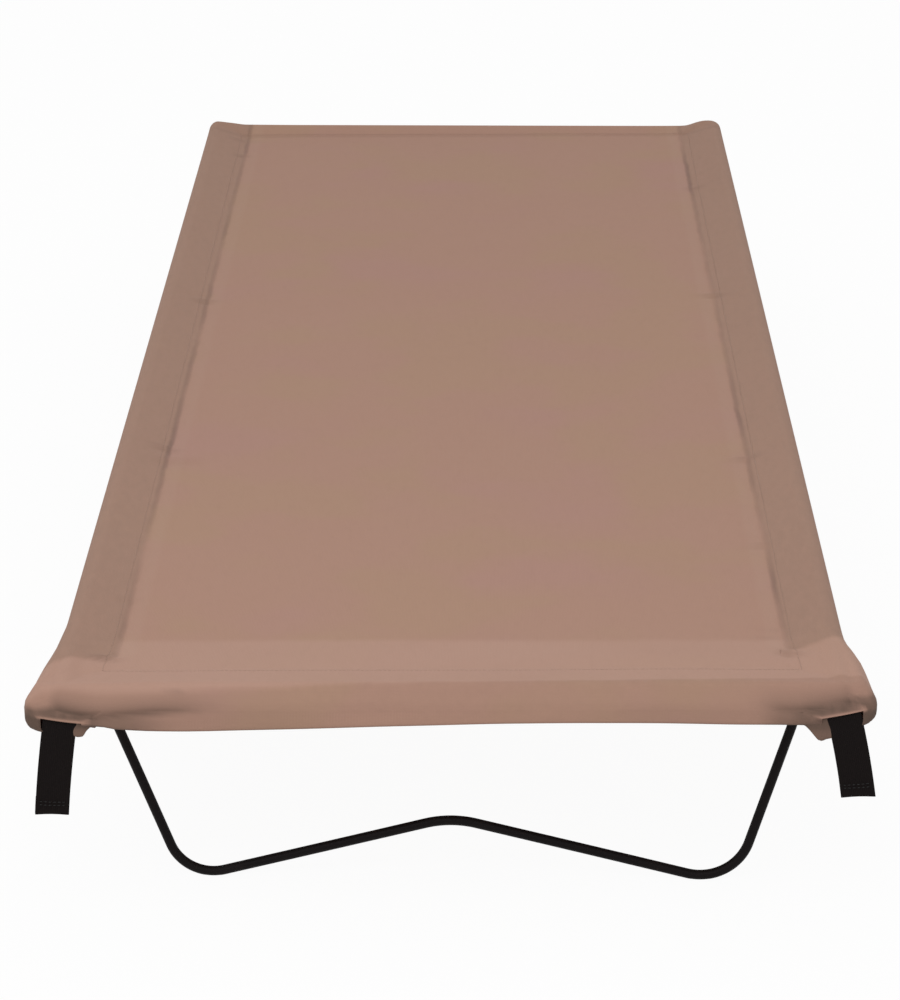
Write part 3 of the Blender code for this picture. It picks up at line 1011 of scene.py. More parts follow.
@dataclass(frozen=True)
class Ring:
    """The strip's columns, anticlockwise from the near left corner.

    inner and outer hold the columns' ends in plan, and zones the value of each one's Zone.
    """

    inner: Array
    outer: Array
    zones: Array

    def within(self, zone: Zone) -> Array:
        """Return which columns belong to a zone."""
        return self.zones == zone.value


@dataclass(frozen=True)
class Levels:
    """Each column's top and bottom, its upper and lower rounding, its split and its flat.

    The split is the height at which the pocket's front is cut over a strap, and the flat how
    far the upper rounding turns into a slope between two quick bends.
    """

    high: Array
    low: Array
    upper: Array
    lower: Array
    split: Array
    flat: Array


@dataclass(frozen=True)
class FrontShade:
    """Painted shade on the folds of the pocket's front, as shares of the dark cloth.

    A span is where a soft step begins and ends, counted outwards from the middle, a bend from
    the crease's bend, a depth from the near end and a height from the edge of its name.
    """

    top_z: Pair = (0.174, 0.178)
    front_depth: Pair = (0.013, 0.005)
    side_depth: Pair = (0.032, 0.014)
    side_span: Pair = (0.298, 0.308)
    left_span: Pair = (0.060, 0.140)
    right_span: Pair = (0.080, 0.160)
    below_bend: Pair = (-0.060, -0.012)
    outer_bend: Pair = (-0.004, 0.010)
    groove_bend: Pair = (0.0, 0.015)
    cap_span: Pair = (0.298, 0.304)
    cap_height: Pair = (0.016, 0.010)
    cap_edge: float = 0.005
    under_cap_span: Pair = (0.290, 0.300)
    hem_span: Pair = (0.275, 0.262)
    hem_height: Pair = (0.0022, 0.0002)
    lip_height: Pair = (0.0006, 0.0012)
    lip_span: Pair = (0.0200, 0.0160)
    # painted shade for dimple, sides, grooves, below the creases, cap, hem and tuck; pale_lip is a
    # painted highlight
    dimple: float = 0.45
    dimple_x: Pair = (-0.205, 0.005)
    dimple_z: Pair = (0.1850, 0.0020)
    left_side: float = 0.12
    right_side: float = 0.10
    groove: float = 0.58
    outer_groove: float = 0.20
    below: float = 0.48
    outer_below: float = 0.20
    cap: float = 0.30
    # painted shade along the pocket's lower edge, where its underside turns away
    hem: float = 0.40
    # painted highlight on the lip over each strap
    pale_lip: float = 0.10
    # painted shade on the small tuck beside each strap, deeper towards its top
    tuck: float = 0.78
    tuck_top: float = 0.16
    mottle: Ripples = Ripples(0.10, 0.006, 0.018, seed=61)


@dataclass(frozen=True)
class Cover:
    """The cloth: a panel grid, and round it a strip that folds over rails, bar and pocket.

    Each of the strip's columns starts at a point of the panel's edge, runs out to the bed's
    outline, round it and back under to its seam. A span is where a soft step begins and ends;
    those named after the pocket are distances from the near end.
    """

    bed: Bed
    corners: tuple[PocketCorner, PocketCorner] = (LEFT_CORNER, RIGHT_CORNER)
    shade: FrontShade = FrontShade()
    cloth: float = 0.0008
    least_gap: float = 0.0002
    sleeve_width: float = 0.045
    sleeve_lines: Pair = (0.2570, 0.2520)
    seam_lap: float = 0.006
    pocket_depth: float = 0.062
    hem_depth: float = 0.035
    hem_round: float = 0.0071
    hem_drop: float = 0.0041
    hem_fall: float = 0.0062
    hem_back: float = 0.0020
    crest_drop: float = 0.0010
    crest_round: float = 0.0165
    crest_flat: float = 0.15
    crest_place: Pair = (-0.8836, 0.036)
    near_lift: float = 0.0022
    lift_start: float = -0.774
    pocket_round: float = 0.0035
    corner_plan: float = 0.0126
    corner_top: float = 0.0165
    low_turn: float = 0.300
    low_rise: float = 0.0012
    left_hitch: float = 0.0022
    crest_rise: float = 0.0006
    window_half: float = 0.055
    window_front: float = 0.062
    window_rows: tuple[int, int] = (-1, 7)
    notch: Pair = (0.0160, 0.0146)
    notch_rows: int = 3
    slot_shift: float = 0.0015
    slot_span: Pair = (0.030, 0.018)
    elbow_room: float = 0.0012
    draw_lean: float = 40.0
    draw_blend: float = 0.0006
    far_elbow_span: Pair = (0.282, 0.262)
    hem_span: Pair = (0.289, 0.258)
    middle_span: Pair = (0.316, 0.300)
    pocket_span: Pair = (0.125, 0.020)
    pocket_front_span: Pair = (0.015, 0.003)
    pocket_side_span: Pair = (0.120, 0.050)
    pocket_draw_span: Pair = (0.125, 0.085)
    edge_span: Pair = (0.20, 0.25)
    near_span: Pair = (0.20, 0.10)
    side_span: Pair = (0.285, 0.300)
    crest_bell: Pair = (0.010, 0.012)
    crest_z: float = 0.178
    sag: float = 0.0016
    crease_depth: float = 0.0017
    lip_depth: float = 0.0014
    long_waves: Ripples = Ripples(0.00040, 0.11, 0.34, seed=4)
    seam_waves: Ripples = Ripples(0.00024, 0.035, 0.08, seed=9, lean=math.pi / 2, spread=1.2)
    near_waves: Ripples = Ripples(0.00030, 0.030, 0.070, seed=12, lean=math.pi / 2, spread=0.4)
    front_waves: Ripples = Ripples(0.00040, 0.014, 0.040, seed=21, lean=math.pi / 2, spread=0.3)
    front_swells: Ripples = Ripples(0.0009, 0.09, 0.25, seed=33, lean=0.0, spread=0.6)
    side_swells: Ripples = Ripples(0.0005, 0.05, 0.12, seed=41)
    crest_waves: Ripples = Ripples(0.0005, 0.05, 0.16, seed=52, lean=0.0, spread=0.8)
    pocket_low: Knots = (
        (-0.263, 0.1588), (-0.237, 0.1558), (-0.194, 0.1548), (-0.112, 0.1571),
        (-0.023, 0.1593), (0.030, 0.1608), (0.088, 0.1615), (0.154, 0.1606),
        (0.243, 0.1600), (0.262, 0.1592))
    near_fan: float = 0.060
    side_fan: float = 0.070
    top_rows: int = 10
    arc_rows: int = 7
    face_rows: tuple[int, int] = (9, 5)
    under_arc_rows: int = 7
    under_rows: int = 8
    side_lines: tuple[int, int, int, int] = (5, 12, 10, 14)
    panel_step: float = 0.0086
    tuck_grid: tuple[int, int] = (25, 13)

    @property
    def half_width(self) -> float:
        """Return the outline's half width along the sleeves."""
        return self.bed.rail_x + self.sleeve_round

    @property
    def sleeve_round(self) -> float:
        """Return the outer radius of the sleeves over the rails."""
        return self.bed.top - self.bed.rail_z

    @property
    def seam_x(self) -> float:
        """Return how far from the middle the sleeves' seams lie."""
        return self.half_width - self.sleeve_width

    @property
    def seams_y(self) -> Pair:
        """Return the Y of the pocket's seam and of the far hem's seam."""
        return self.bed.near_end + self.pocket_depth, self.bed.far_end - self.hem_depth

    @property
    def strap_x(self) -> float:
        """Return how far from the middle the straps' roots lie."""
        return self.bed.roots[Side.RIGHT].x

    def walk_rate(self, zone: float, gap: float) -> float:
        """Return how fast the outline is walked in a fan of a zone's length."""
        radius = self.corner_plan
        return (radius * math.pi / 4 + gap + zone - radius) / zone

    def across_lines(self, corner: PocketCorner) -> Array:
        """Return the grid lines of one side, with a line at each edge of the strap's notch.

        Args:
            corner: the side's near corner.

        Returns:
            The lines' distances inwards from the seam.
        """
        radius = self.corner_plan
        rate = self.walk_rate(self.near_fan, corner.reach - self.seam_x)
        inner, outer = self.strap_x - self.notch[0], self.strap_x + self.notch[1]
        edges = [(radius * math.pi / 4 + corner.reach - out - radius) / rate
                 for out in (outer, inner)]
        stops = [0.0, *edges, self.near_fan, self.seam_x]
        runs = [np.linspace(a, b, count, endpoint=False)
                for a, b, count in zip(stops[:-1], stops[1:], self.side_lines)]
        return np.concatenate(runs)

    def panel_lines(self) -> tuple[Array, Array]:
        """Return the panel's grid lines, which lie closer together near its corners.

        Returns:
            The X of the lines along the bed, and the Y of those across it.
        """
        left, right = (corner.side.value * (self.seam_x - self.across_lines(corner))
                       for corner in self.corners)
        near, far = self.seams_y
        stops = [(near, 0.0015), (near + 0.008, 0.004), (near + 0.036, self.panel_step)]
        for number, station in enumerate(self.bed.stations):
            stops += [(station - self.window_half, self.panel_step)] if number else []
            stops += [(station + self.window_half, self.panel_step)]
        stops += [(far - 0.010, 0.002), (far, 0.0)]
        runs = [np.linspace(a, b, round((b - a) / step), endpoint=False)
                for (a, step), (b, _) in zip(stops[:-1], stops[1:])]
        return np.concatenate([left, [0.0], right[::-1]]), np.append(np.concatenate(runs), far)

    def past_corner(self, distance: Array, zone: float, gap: float) -> tuple[Array, Array]:
        """Return where the outline's points lie that belong to the panel's edge points.

        Near a corner the points spread from the middle of its rounding: the rounding's angle
        falls from 45 degrees to 0 as the arc is walked, and the rest is straight.

        Args:
            distance: how far each edge point lies from the panel's corner.
            zone: the length of edge over which the spreading fades.
            gap: how far the panel's corner lies from the outline's end.

        Returns:
            Each point's distance from the outline's end, and how far the rounding draws it in.
        """
        radius = self.corner_plan
        arc = radius * math.pi / 4
        walk = distance * self.walk_rate(zone, gap)
        angle = np.clip(math.pi / 4 - walk / radius, 0.0, None)
        place = np.where(walk < arc, radius * (1 - np.sin(angle)), radius + walk - arc)
        place = np.where(distance < zone, place, gap + distance)
        drawn_in = np.where(distance < zone, radius * (1 - np.cos(angle)), 0.0)
        return place, drawn_in

    def outline_x(self, y: Array, corner: PocketCorner) -> Array:
        """Return the outline's half width, which swells from the sleeve to the pocket's corner."""
        share = eased(y - self.bed.near_end, corner.swell, 0.012)
        return blended(self.half_width, corner.reach, share)

    def outline_far(self, x: Array) -> Array:
        """Return the far outline's Y: full at the elbows, a little less along the bar."""
        return self.bed.far_end - self.hem_back * smooth(np.abs(x), *self.far_elbow_span)

    def low_edge(self, x: Array) -> Array:
        """Return the height of the pocket's lower edge, a slack line that dips on the left.

        Args:
            x: the places across the bed.

        Returns:
            The height at each place.
        """
        left, right = self.corners
        ends = ((-left.reach, left.low), (-self.low_turn, left.low + self.low_rise))
        other = ((self.low_turn, right.low + self.low_rise), (right.reach, right.low))
        edge = eased(x, (*ends, *self.pocket_low, *other), 0.016)
        return edge + self.left_hitch * smooth(-x, 0.252, 0.262) * smooth(-x, 0.302, 0.296)

    def ring(self, x_lines: Array, y_lines: Array) -> Ring:
        """Return the strip's columns.

        Args:
            x_lines: the X of the panel's grid lines along the bed.
            y_lines: the Y of those across it.

        Returns:
            The columns, one for each point of the panel's edge.
        """
        near_seam, far_seam = self.seams_y
        parts = []
        for corner in self.corners:
            sign, reach = corner.side.value, corner.reach
            x = x_lines[(x_lines * sign > 1e-9) | (np.abs(x_lines) < 1e-9)]
            inset = self.seam_x - np.abs(x)
            near, near_in = self.past_corner(inset, self.near_fan, reach - self.seam_x)
            far, far_in = self.past_corner(inset, self.near_fan, self.sleeve_width)
            low, low_in = self.past_corner(y_lines - near_seam, self.side_fan, self.pocket_depth)
            high, high_in = self.past_corner(far_seam - y_lines, self.side_fan, self.hem_depth)
            front = y_lines < (near_seam + far_seam) / 2
            side_y = np.where(front, self.bed.near_end + low, self.bed.far_end - high)
            side_in = np.where(front, low_in, high_in)
            near_x, far_x = sign * (reach - near), sign * (self.half_width - far)
            parts.append({
                "near": np.stack([x, np.full_like(x, near_seam), near_x,
                                  self.bed.near_end + near_in], axis=1),
                "far": np.stack([x, np.full_like(x, far_seam), far_x,
                                 self.outline_far(far_x) - far_in], axis=1),
                "side": np.stack([np.full_like(y_lines, sign * self.seam_x), y_lines,
                                  sign * (self.outline_x(side_y, corner) - side_in), side_y],
                                 axis=1)})
        left, right = parts
        near = np.concatenate([left["near"], right["near"][1:]])
        far = np.concatenate([left["far"], right["far"][1:]])
        columns = np.concatenate([near[:-1], right["side"][:-1], far[:0:-1], left["side"][:0:-1]])
        counts = [len(near) - 1, len(y_lines) - 1, len(far) - 1, len(y_lines) - 1]
        zones = [zone.value for zone in (Zone.POCKET, Zone.SIDE, Zone.HEM, Zone.SIDE)]
        return Ring(columns[:, :2], columns[:, 2:], np.repeat(zones, counts))

    def levels(self, ring: Ring) -> Levels:
        """Return each column's heights and roundings.

        The sleeve's, pocket's and hem's values run into one another round the corners.

        Args:
            ring: the columns.

        Returns:
            The levels, a value for each column.
        """
        x, y = ring.outer.T
        out, pocket, hem_zone = np.abs(x), ring.within(Zone.POCKET), ring.within(Zone.HEM)
        near = np.where(pocket, 1.0, smooth(y - self.bed.near_end, *self.pocket_span))
        near = np.where(hem_zone, 0.0, near)
        far = np.where(hem_zone, smooth(out, *self.hem_span), 0.0)
        middle = smooth(out, *self.middle_span) * pocket
        top, radius = self.bed.top, self.sleeve_round
        crest = top - self.crest_drop + self.crest_rise * bell(out, self.bed.rail_x, 0.018)
        hem = top - self.hem_drop - self.hem_fall * x
        high = blended(blended(top, crest, near), hem, far)
        low = blended(blended(top - 2 * radius, self.low_edge(x), near),
                      hem - 2 * self.hem_round, far)
        upper = blended(blended(radius, self.corner_top, near), self.hem_round, far)
        upper = blended(upper, self.crest_round, middle)
        corner_low = np.where(x < 0, *(corner.low_round for corner in self.corners))
        lower = blended(blended(radius, corner_low, near), self.hem_round, far)
        lower = blended(lower, self.pocket_round, middle)
        squeeze = np.minimum(1.0, (high - low - self.least_gap) / (upper + lower))
        upper, lower = upper * squeeze, lower * squeeze
        split = (high + low) / 2
        for corner in self.corners:
            side_out = x * corner.side.value
            from_slot = np.abs(side_out - self.strap_x + self.slot_shift)
            at_strap = smooth(from_slot, *self.slot_span) * pocket
            split = blended(split, corner.lip(side_out, self.strap_x), at_strap)
        split = np.clip(split, low + lower + self.least_gap, high - upper - self.least_gap)
        flat = self.crest_flat * near * (1 - far) * (1 - bell(out, self.bed.rail_x, 0.016))
        return Levels(high, low, upper, lower, split, flat)

    def sections(self, ring: Ring, tip: Array) -> tuple[Array, Array]:
        """Return each column's profile as distances out from its seam and heights.

        A profile is a straight line up from the seam that touches the upper rounding, an arc
        over it, a straight face down, an arc under, and a straight line back to the seam. The
        upper arc's radius is scaled by 1 - flat sin^2(2 angle), which turns it into a slope
        between two quick bends.

        Args:
            ring: the columns.
            tip: the panel's height at each column.

        Returns:
            Two arrays with a line for each column and a place for each row after the first.
        """
        level = self.levels(ring)
        reach = np.linalg.norm(ring.outer - ring.inner, axis=1)
        under_tip = tip - 2 * self.cloth - self.least_gap
        upper, lower = level.upper, level.lower
        centre_z, centre = level.high - upper, reach - upper
        start = math.pi + np.arctan2(centre_z - tip, centre)
        start = start - np.arccos(np.clip(upper / np.hypot(centre_z - tip, centre), -1, 1))
        first = (centre + upper * np.cos(start), centre_z + upper * np.sin(start))
        rows = [(first[0] * t, blended(tip, first[1], t)) for t in self.top_steps()]
        for t in self.steps(self.arc_rows):
            angle = start * (1 - t)
            radius = upper * (1 - level.flat * np.sin(2 * angle) ** 2)
            rows.append((centre + radius * np.cos(angle), centre_z + radius * np.sin(angle)))
        low_z, low_centre = level.low + lower, reach - lower
        for a, b, count in ((centre_z, level.split, self.face_rows[0]),
                            (level.split, low_z, self.face_rows[1])):
            rows += [(reach, blended(a, b, t)) for t in self.steps(count)]
        fall = low_z - under_tip
        turn = np.arctan2(fall, low_centre) - math.pi
        turn = turn + np.arccos(np.clip(lower / np.hypot(fall, low_centre), -1, 1))
        rows += [(low_centre + lower * np.cos(turn * t), low_z + lower * np.sin(turn * t))
                 for t in self.steps(self.under_arc_rows)]
        last = rows[-1]
        rows += [(last[0] * (1 - t), blended(last[1], under_tip, t))
                 for t in self.steps(self.under_rows)]
        rows.append((np.full_like(reach, -self.seam_lap), under_tip))
        out, height = zip(*rows)
        return np.stack(out, axis=1), np.stack(height, axis=1)

    @staticmethod
    def steps(count: int) -> Array:
        """Return the ends of a number of equal steps from 0 to 1."""
        return np.arange(1, count + 1) / count

    def top_steps(self) -> Array:
        """Return the top rows' shares of the way out, closer together by the rounding."""
        return 1 - (1 - self.steps(self.top_rows)) ** 1.7

    def puckers(self) -> list[Pucker]:
        """Return the folds along the sleeves' seams, those of the left one first."""
        return [Pucker(corner.side.value * (self.seam_x + out), *rest)
                for corner in self.corners for out, *rest in corner.puckers]

    def relief(self, x: Array, y: Array) -> Array:
        """Return how far the taut top cloth stands off its plane.

        It is a shallow sag across, long waves, finer ones by the seams, and the puckers.

        Args:
            x: the points' X.
            y: their Y.

        Returns:
            The height at each point.
        """
        near_seam, far_seam = self.seams_y
        across = np.clip(np.abs(x) / self.seam_x, 0, 1)
        along = np.clip((y - near_seam) / (far_seam - near_seam), 0, 1)
        sag = -self.sag * (1 - across ** 2) * np.sqrt(np.sin(math.pi * along).clip(0))
        edge = smooth(np.abs(x), *self.edge_span)
        near = smooth(y - self.bed.near_end, *self.near_span)
        total = sag + self.long_waves.at(x, y)
        total = total + self.seam_waves.at(x, y) * (0.25 + 0.75 * edge)
        total = total + self.near_waves.at(x, y) * near * 0.6
        total = total + self.near_lift * smooth(y, self.lift_start, near_seam)
        return total + sum(pucker.height(x, y) for pucker in self.puckers())

    def front_relief(self, x: Array, z: Array) -> Array:
        """Return how far the pocket's front stands forward.

        It has a long crease towards each corner with a full lip under it, soft level folds,
        and a lip that stands over each strap.

        Args:
            x: the points' X.
            z: their Z.

        Returns:
            The distance at each point.
        """
        total = self.front_waves.at(x, z) + self.front_swells.at(x, z)
        for corner in self.corners:
            out = x * corner.side.value
            room = 1 - 0.3 * bell(out, self.bed.rail_x, 0.014)
            total = total - self.crease_depth * room * corner.crease.depth(out, z)
            lip = bell(out, self.strap_x, 0.017) * bell(z, corner.lip(out, self.strap_x), 0.0024)
            total = total + self.lip_depth * lip
        return total

    def folds(self, points: Array, strip_from: int) -> Array:
        """Return the painted shade (1) or painted highlight (-1) of each point's cloth at its
        folds.

        The puckers' painted shadows lie on the top. On the pocket's front a dimple on the left
        gets painted shade, both sides are painted darker than the middle, and each corner has
        its own painted shadows.

        Args:
            points: the cover's points.
            strip_from: the number of the first point of the strip.

        Returns:
            A number for each point.
        """
        x, y, z = points.T
        in_strip = np.arange(len(points)) >= strip_from
        from_near = y - self.bed.near_end
        shade = self.shade
        total = sum(p.shadow(x, y) for p in self.puckers()) * smooth(z, *shade.top_z)
        front = smooth(from_near, *shade.front_depth) * in_strip
        # painted shade of a small dimple on the front's left, which has no relief of its own
        dimple = bell(x, *shade.dimple_x) * bell(z, *shade.dimple_z)
        total = total + shade.dimple * dimple * front
        past_crest = self.crest_place[0] + self.crest_place[1] * x - y
        # painted shade on both sides of the pocket's front
        sides = shade.left_side * smooth(-x, *shade.left_span)
        sides = sides + shade.right_side * smooth(x, *shade.right_span)
        total = total + sides * smooth(past_crest, -0.001, 0.004) * (front > 0)
        for corner in self.corners:
            turned = smooth(x * corner.side.value, *shade.side_span) * in_strip
            turned = turned * smooth(from_near, *shade.side_depth)
            total = total + self.corner_shade(corner, x, z) * np.maximum(front, turned)
        return np.clip(total, -1, 1)

    def corner_shade(self, corner: PocketCorner, x: Array, z: Array) -> Array:
        """Return the painted shade of the folds round one near corner.

        The painted shade is deep in the crease and fades above it, and the cloth below lies in
        its painted shadow. The lip over the strap gets a painted highlight, and the corner's cap
        and the hem's edge get painted shade.

        Args:
            corner: the corner.
            x: the points' X.
            z: their Z.

        Returns:
            A number for each point, from painted shade (1) to painted highlight (-1).
        """
        shade, crease = self.shade, corner.crease
        out = x * corner.side.value
        past_bend = out - crease.x
        lip = bell(z - corner.lip(out, self.strap_x), *shade.lip_height)
        lip = lip * smooth(np.abs(out - self.strap_x + 0.001), *shade.lip_span)
        below = shade.below * smooth(past_bend, *shade.below_bend)
        mottled = shade.outer_below + shade.mottle.at(x, z)
        below = below + mottled * smooth(past_bend, *shade.outer_bend)
        below = below * smooth(-crease.above(out, z), -0.001, 0.002) * smooth(out, *crease.fade)
        groove = shade.groove + shade.outer_groove * smooth(past_bend, *shade.groove_bend)
        above = crease.shadow(out, z) * groove
        cap = shade.cap * smooth(out, *shade.cap_span) * smooth(z - corner.low, *shade.cap_height)
        hem = shade.hem * smooth(z - self.low_edge(x), *shade.hem_height)
        hem = hem * smooth(out, *shade.hem_span) * smooth(out, 0.0, 0.004)
        # painted shade, less the painted highlight on the lip, plus the cap's and hem's painted
        # shade
        dark = np.maximum(above, below) * (1 - lip) - shade.pale_lip * lip + cap + hem
        under_cap = smooth(z, corner.cap_top, corner.cap_top - shade.cap_edge)
        return dark * blended(1.0, under_cap, smooth(out, *shade.under_cap_span))

    def over_rail(self, x: Array, y: Array) -> Array:
        """Return the height of cloth drawn over a rail and its elbow.

        Across the rail, and round its ends, it is a round top that runs into a slope.

        Args:
            x: the points' X.
            y: their Y.

        Returns:
            The height at each point.
        """
        near, far = self.bed.corners
        past = np.maximum(np.maximum(near - y, y - far), 0.0)
        away = np.hypot(np.abs(x) - self.bed.rail_x, past)
        radius, lean = self.sleeve_round, math.radians(self.draw_lean)
        crown = np.sqrt(np.clip(radius ** 2 - away ** 2, 0, None))
        slope = radius * math.cos(lean) - (away - radius * math.sin(lean)) * math.tan(lean)
        return self.bed.rail_z + np.where(away < radius * math.sin(lean), crown, slope)

    def open_faces(self, ring: Ring, rows: int) -> Array:
        """Return which faces of the strip are cut away.

        They are the sleeves' windows at the legs and the pocket's notches at the straps.

        Args:
            ring: the columns.
            rows: how many rows of faces the strip has.

        Returns:
            True for each face that is cut, a line for a column and a place for a row.
        """
        x, y = ((ring.outer + np.roll(ring.outer, -1, axis=0)) / 2).T
        cut = np.zeros((len(x), rows), bool)
        split = self.top_rows + self.arc_rows + self.face_rows[0]
        arc_end = split + self.face_rows[1] + self.under_arc_rows
        first, last = (arc_end + row for row in self.window_rows)
        for number, station in enumerate(self.bed.stations):
            front = self.window_half if number else self.window_front
            inside = (y > station - front) & (y < station + self.window_half)
            cut[inside & ring.within(Zone.SIDE), first:last] = True
        offset = np.abs(x) - self.strap_x
        notch = (offset > -self.notch[0]) & (offset < self.notch[1]) & ring.within(Zone.POCKET)
        cut[notch, split:arc_end + self.notch_rows] = True
        return cut

    def shaped(self, strip: Array, ring: Ring) -> Array:
        """Return the strip with its folds, and drawn over the ends of the rails.

        The panel's relief fades out along the top rows. Where the cloth is drawn over a rail,
        its height z and the rail's r meet in (z + r + sqrt((z - r)^2 + blend^2)) / 2. The
        pocket's front moves forward by its relief, its sides outwards, its crest up.

        Args:
            strip: the strip's points, a line for each column.
            ring: the columns.

        Returns:
            The moved points.
        """
        x, y, z = (strip[..., i] for i in range(3))
        from_near = y - self.bed.near_end
        top = np.zeros(strip.shape[1])
        top[:self.top_rows] = 1.0
        top[self.top_rows:self.top_rows + self.arc_rows] = 1 - self.steps(self.arc_rows) ** 2
        fade = np.zeros(strip.shape[1])
        fade[:self.top_rows] = (1 - self.top_steps() * 0.95) ** 0.6
        flat = self.relief(ring.inner[:, 0], ring.inner[:, 1])[:, None]
        z = z + (self.relief(x, y) - flat) * fade
        ridge = self.over_rail(x, y)
        drawn = (z + ridge + np.sqrt((z - ridge) ** 2 + self.draw_blend ** 2)) / 2
        z = z + (drawn - z) * top * smooth(from_near, *self.pocket_draw_span)
        for corner in self.corners:
            knob_x, lift = corner.far_knob
            away = np.hypot(x * corner.side.value - knob_x, y - self.bed.corners[1])
            z = z + lift * bell(away, 0.0, 0.010) * top
        pocket = ring.within(Zone.POCKET)[:, None]
        half = np.where(x < 0, self.corners[0].reach, self.corners[1].reach)
        front = smooth(from_near, *self.pocket_front_span) * pocket
        front = front * smooth(half - np.abs(x), 0.001, 0.012)
        forward = self.front_relief(x, z) * front
        side = smooth(np.abs(x), *self.side_span) * smooth(from_near, *self.pocket_side_span)
        bulge = self.side_swells.at(y, z) * side
        crest = self.crest_waves.at(x, y) * pocket * bell(from_near, *self.crest_bell)
        crest = crest * (z > self.crest_z)
        moved = np.stack([x + bulge * np.sign(x), y - forward, z + crest], axis=-1)
        return self.off_elbows(moved)

    def off_elbows(self, points: Array) -> Array:
        """Return points with those too close to a near elbow moved straight out from it.

        Args:
            points: the strip's points.

        Returns:
            The moved points.
        """
        needed = self.bed.rail_radius + self.elbow_room
        for side in Side:
            centre = np.array([side.value * self.bed.rail_x, self.bed.corners[0],
                               self.bed.rail_z])
            away = points - centre
            distance = np.linalg.norm(away, axis=-1, keepdims=True)
            points = centre + away * np.maximum(1.0, needed / distance)
        return points

    def cloth_finish(self) -> CoverCloth:
        """Return the cloth's finish, with painted darker bands at the cover's seams and corners.

        Returns:
            The finish.
        """
        near_seam, far_seam = self.seams_y
        near_x, far_x = self.sleeve_lines
        return CoverCloth(seam_x=((near_seam, near_x), (far_seam, far_x)),
                          band_ends=tuple(corner.band_end for corner in self.corners),
                          band_slants=tuple(corner.band_slant for corner in self.corners),
                          near_start=self.lift_start, crest=self.crest_place,
                          far_seam=far_seam)

    def build(self, material: Material) -> tuple[bpy.types.Object, Array]:
        """Make the cover.

        Args:
            material: its cloth.

        Returns:
            The cover, and the line of its seam, which runs all round just outside the panel.
        """
        x_lines, y_lines = self.panel_lines()
        grid_x, grid_y = np.meshgrid(x_lines, y_lines, indexing="ij")
        grid_z = self.bed.rest_z + self.relief(grid_x, grid_y)
        panel = np.stack([grid_x, grid_y, grid_z], axis=-1).reshape(-1, 3)
        number = np.arange(grid_x.size).reshape(grid_x.shape)
        border = np.concatenate([number[:-1, 0], number[-1, :-1], number[:0:-1, -1],
                                 number[0, :0:-1]])
        ring = self.ring(x_lines, y_lines)
        out, height = self.sections(ring, panel[border, 2])
        heading = ring.outer - ring.inner
        heading = heading / np.linalg.norm(heading, axis=1)[:, None]
        plan = ring.inner[:, None] + heading[:, None] * out[..., None]
        strip = self.shaped(np.concatenate([plan, height[..., None]], axis=-1), ring)
        steps = np.diff(np.concatenate([panel[border][:, None], strip], axis=1), axis=1)
        length = np.cumsum(np.linalg.norm(steps, axis=-1), axis=1)
        chart = ring.inner[:, None] + heading[:, None] * length[..., None]
        rows = strip.shape[1]
        index = len(panel) + np.arange(len(border) * rows).reshape(-1, rows)
        index = np.concatenate([border[:, None], index], axis=1)
        kept = ~self.open_faces(ring, rows).reshape(-1)
        faces = np.concatenate([lattice(number)[:, ::-1], lattice(index, closed=True)[kept]])
        points = np.concatenate([panel, strip.reshape(-1, 3)])
        charts = np.concatenate([panel[:, :2], chart.reshape(-1, 2)])
        shade = self.folds(points, len(panel))
        used = np.unique(faces)
        renumber = np.zeros(len(points), int)
        renumber[used] = np.arange(len(used))
        obj = make_mesh("cover_cloth", points[used], renumber[faces].tolist(), charts[used],
                        material)
        self.finish_sheet(obj, shade[used])
        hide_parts("cover")
        return obj, strip[:, 0]

    def finish_sheet(self, obj: bpy.types.Object, shade: Array) -> None:
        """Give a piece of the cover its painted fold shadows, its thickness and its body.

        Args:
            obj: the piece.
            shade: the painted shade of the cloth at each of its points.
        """
        layer = obj.data.attributes.new("folds", "FLOAT", "POINT")
        layer.data.foreach_set("value", shade.astype(np.float32))
        wall = obj.modifiers.new("cloth", "SOLIDIFY")
        wall.thickness = self.cloth
        wall.offset = -1
        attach(obj, "frame")

    def tuck(self, corner: PocketCorner, material: Material) -> bpy.types.Object:
        """Make the small fold of cloth that hangs below the pocket beside a strap.

        Its lower edge is the corner's tuck line, its upper edge is level behind the pocket's
        front, and it bulges forward in between.

        Args:
            corner: the corner that it belongs to.
            material: its cloth.

        Returns:
            The fold.
        """
        columns, rows = self.tuck_grid
        spots = np.array(corner.tuck)
        across = np.linspace(spots[0, 0], spots[-1, 0], columns)
        low = eased(across, corner.tuck, 0.0006)
        high = np.full_like(across, corner.lip_z + 0.0010)
        down = np.linspace(0.0, 1.0, rows)[None]
        z = blended(high[:, None], low[:, None], down)
        x = corner.side.value * np.repeat(across[:, None], rows, axis=1)
        along = np.linspace(0, 1, columns)[:, None]
        bulge = np.sin(math.pi * along) * np.sin(math.pi * down * 0.8)
        y = self.bed.near_end + 0.0020 - 0.0012 * bulge + 0.0010 * down
        points = np.stack([x, y, z], axis=-1).reshape(-1, 3)
        faces = lattice(np.arange(x.size).reshape(x.shape))
        faces = faces[:, ::-1] if corner.side is Side.RIGHT else faces
        obj = make_mesh(f"corner_tuck_{corner.side.word}", points, faces.tolist(),
                        points[:, (0, 2)], material)
        # painted shade on the tuck, deeper towards its top under the pocket's lip
        upper = smooth(points[:, 2] - low.mean(), 0.0, 0.006)
        self.finish_sheet(obj, self.shade.tuck + self.shade.tuck_top * upper)
        return obj


# Stitching


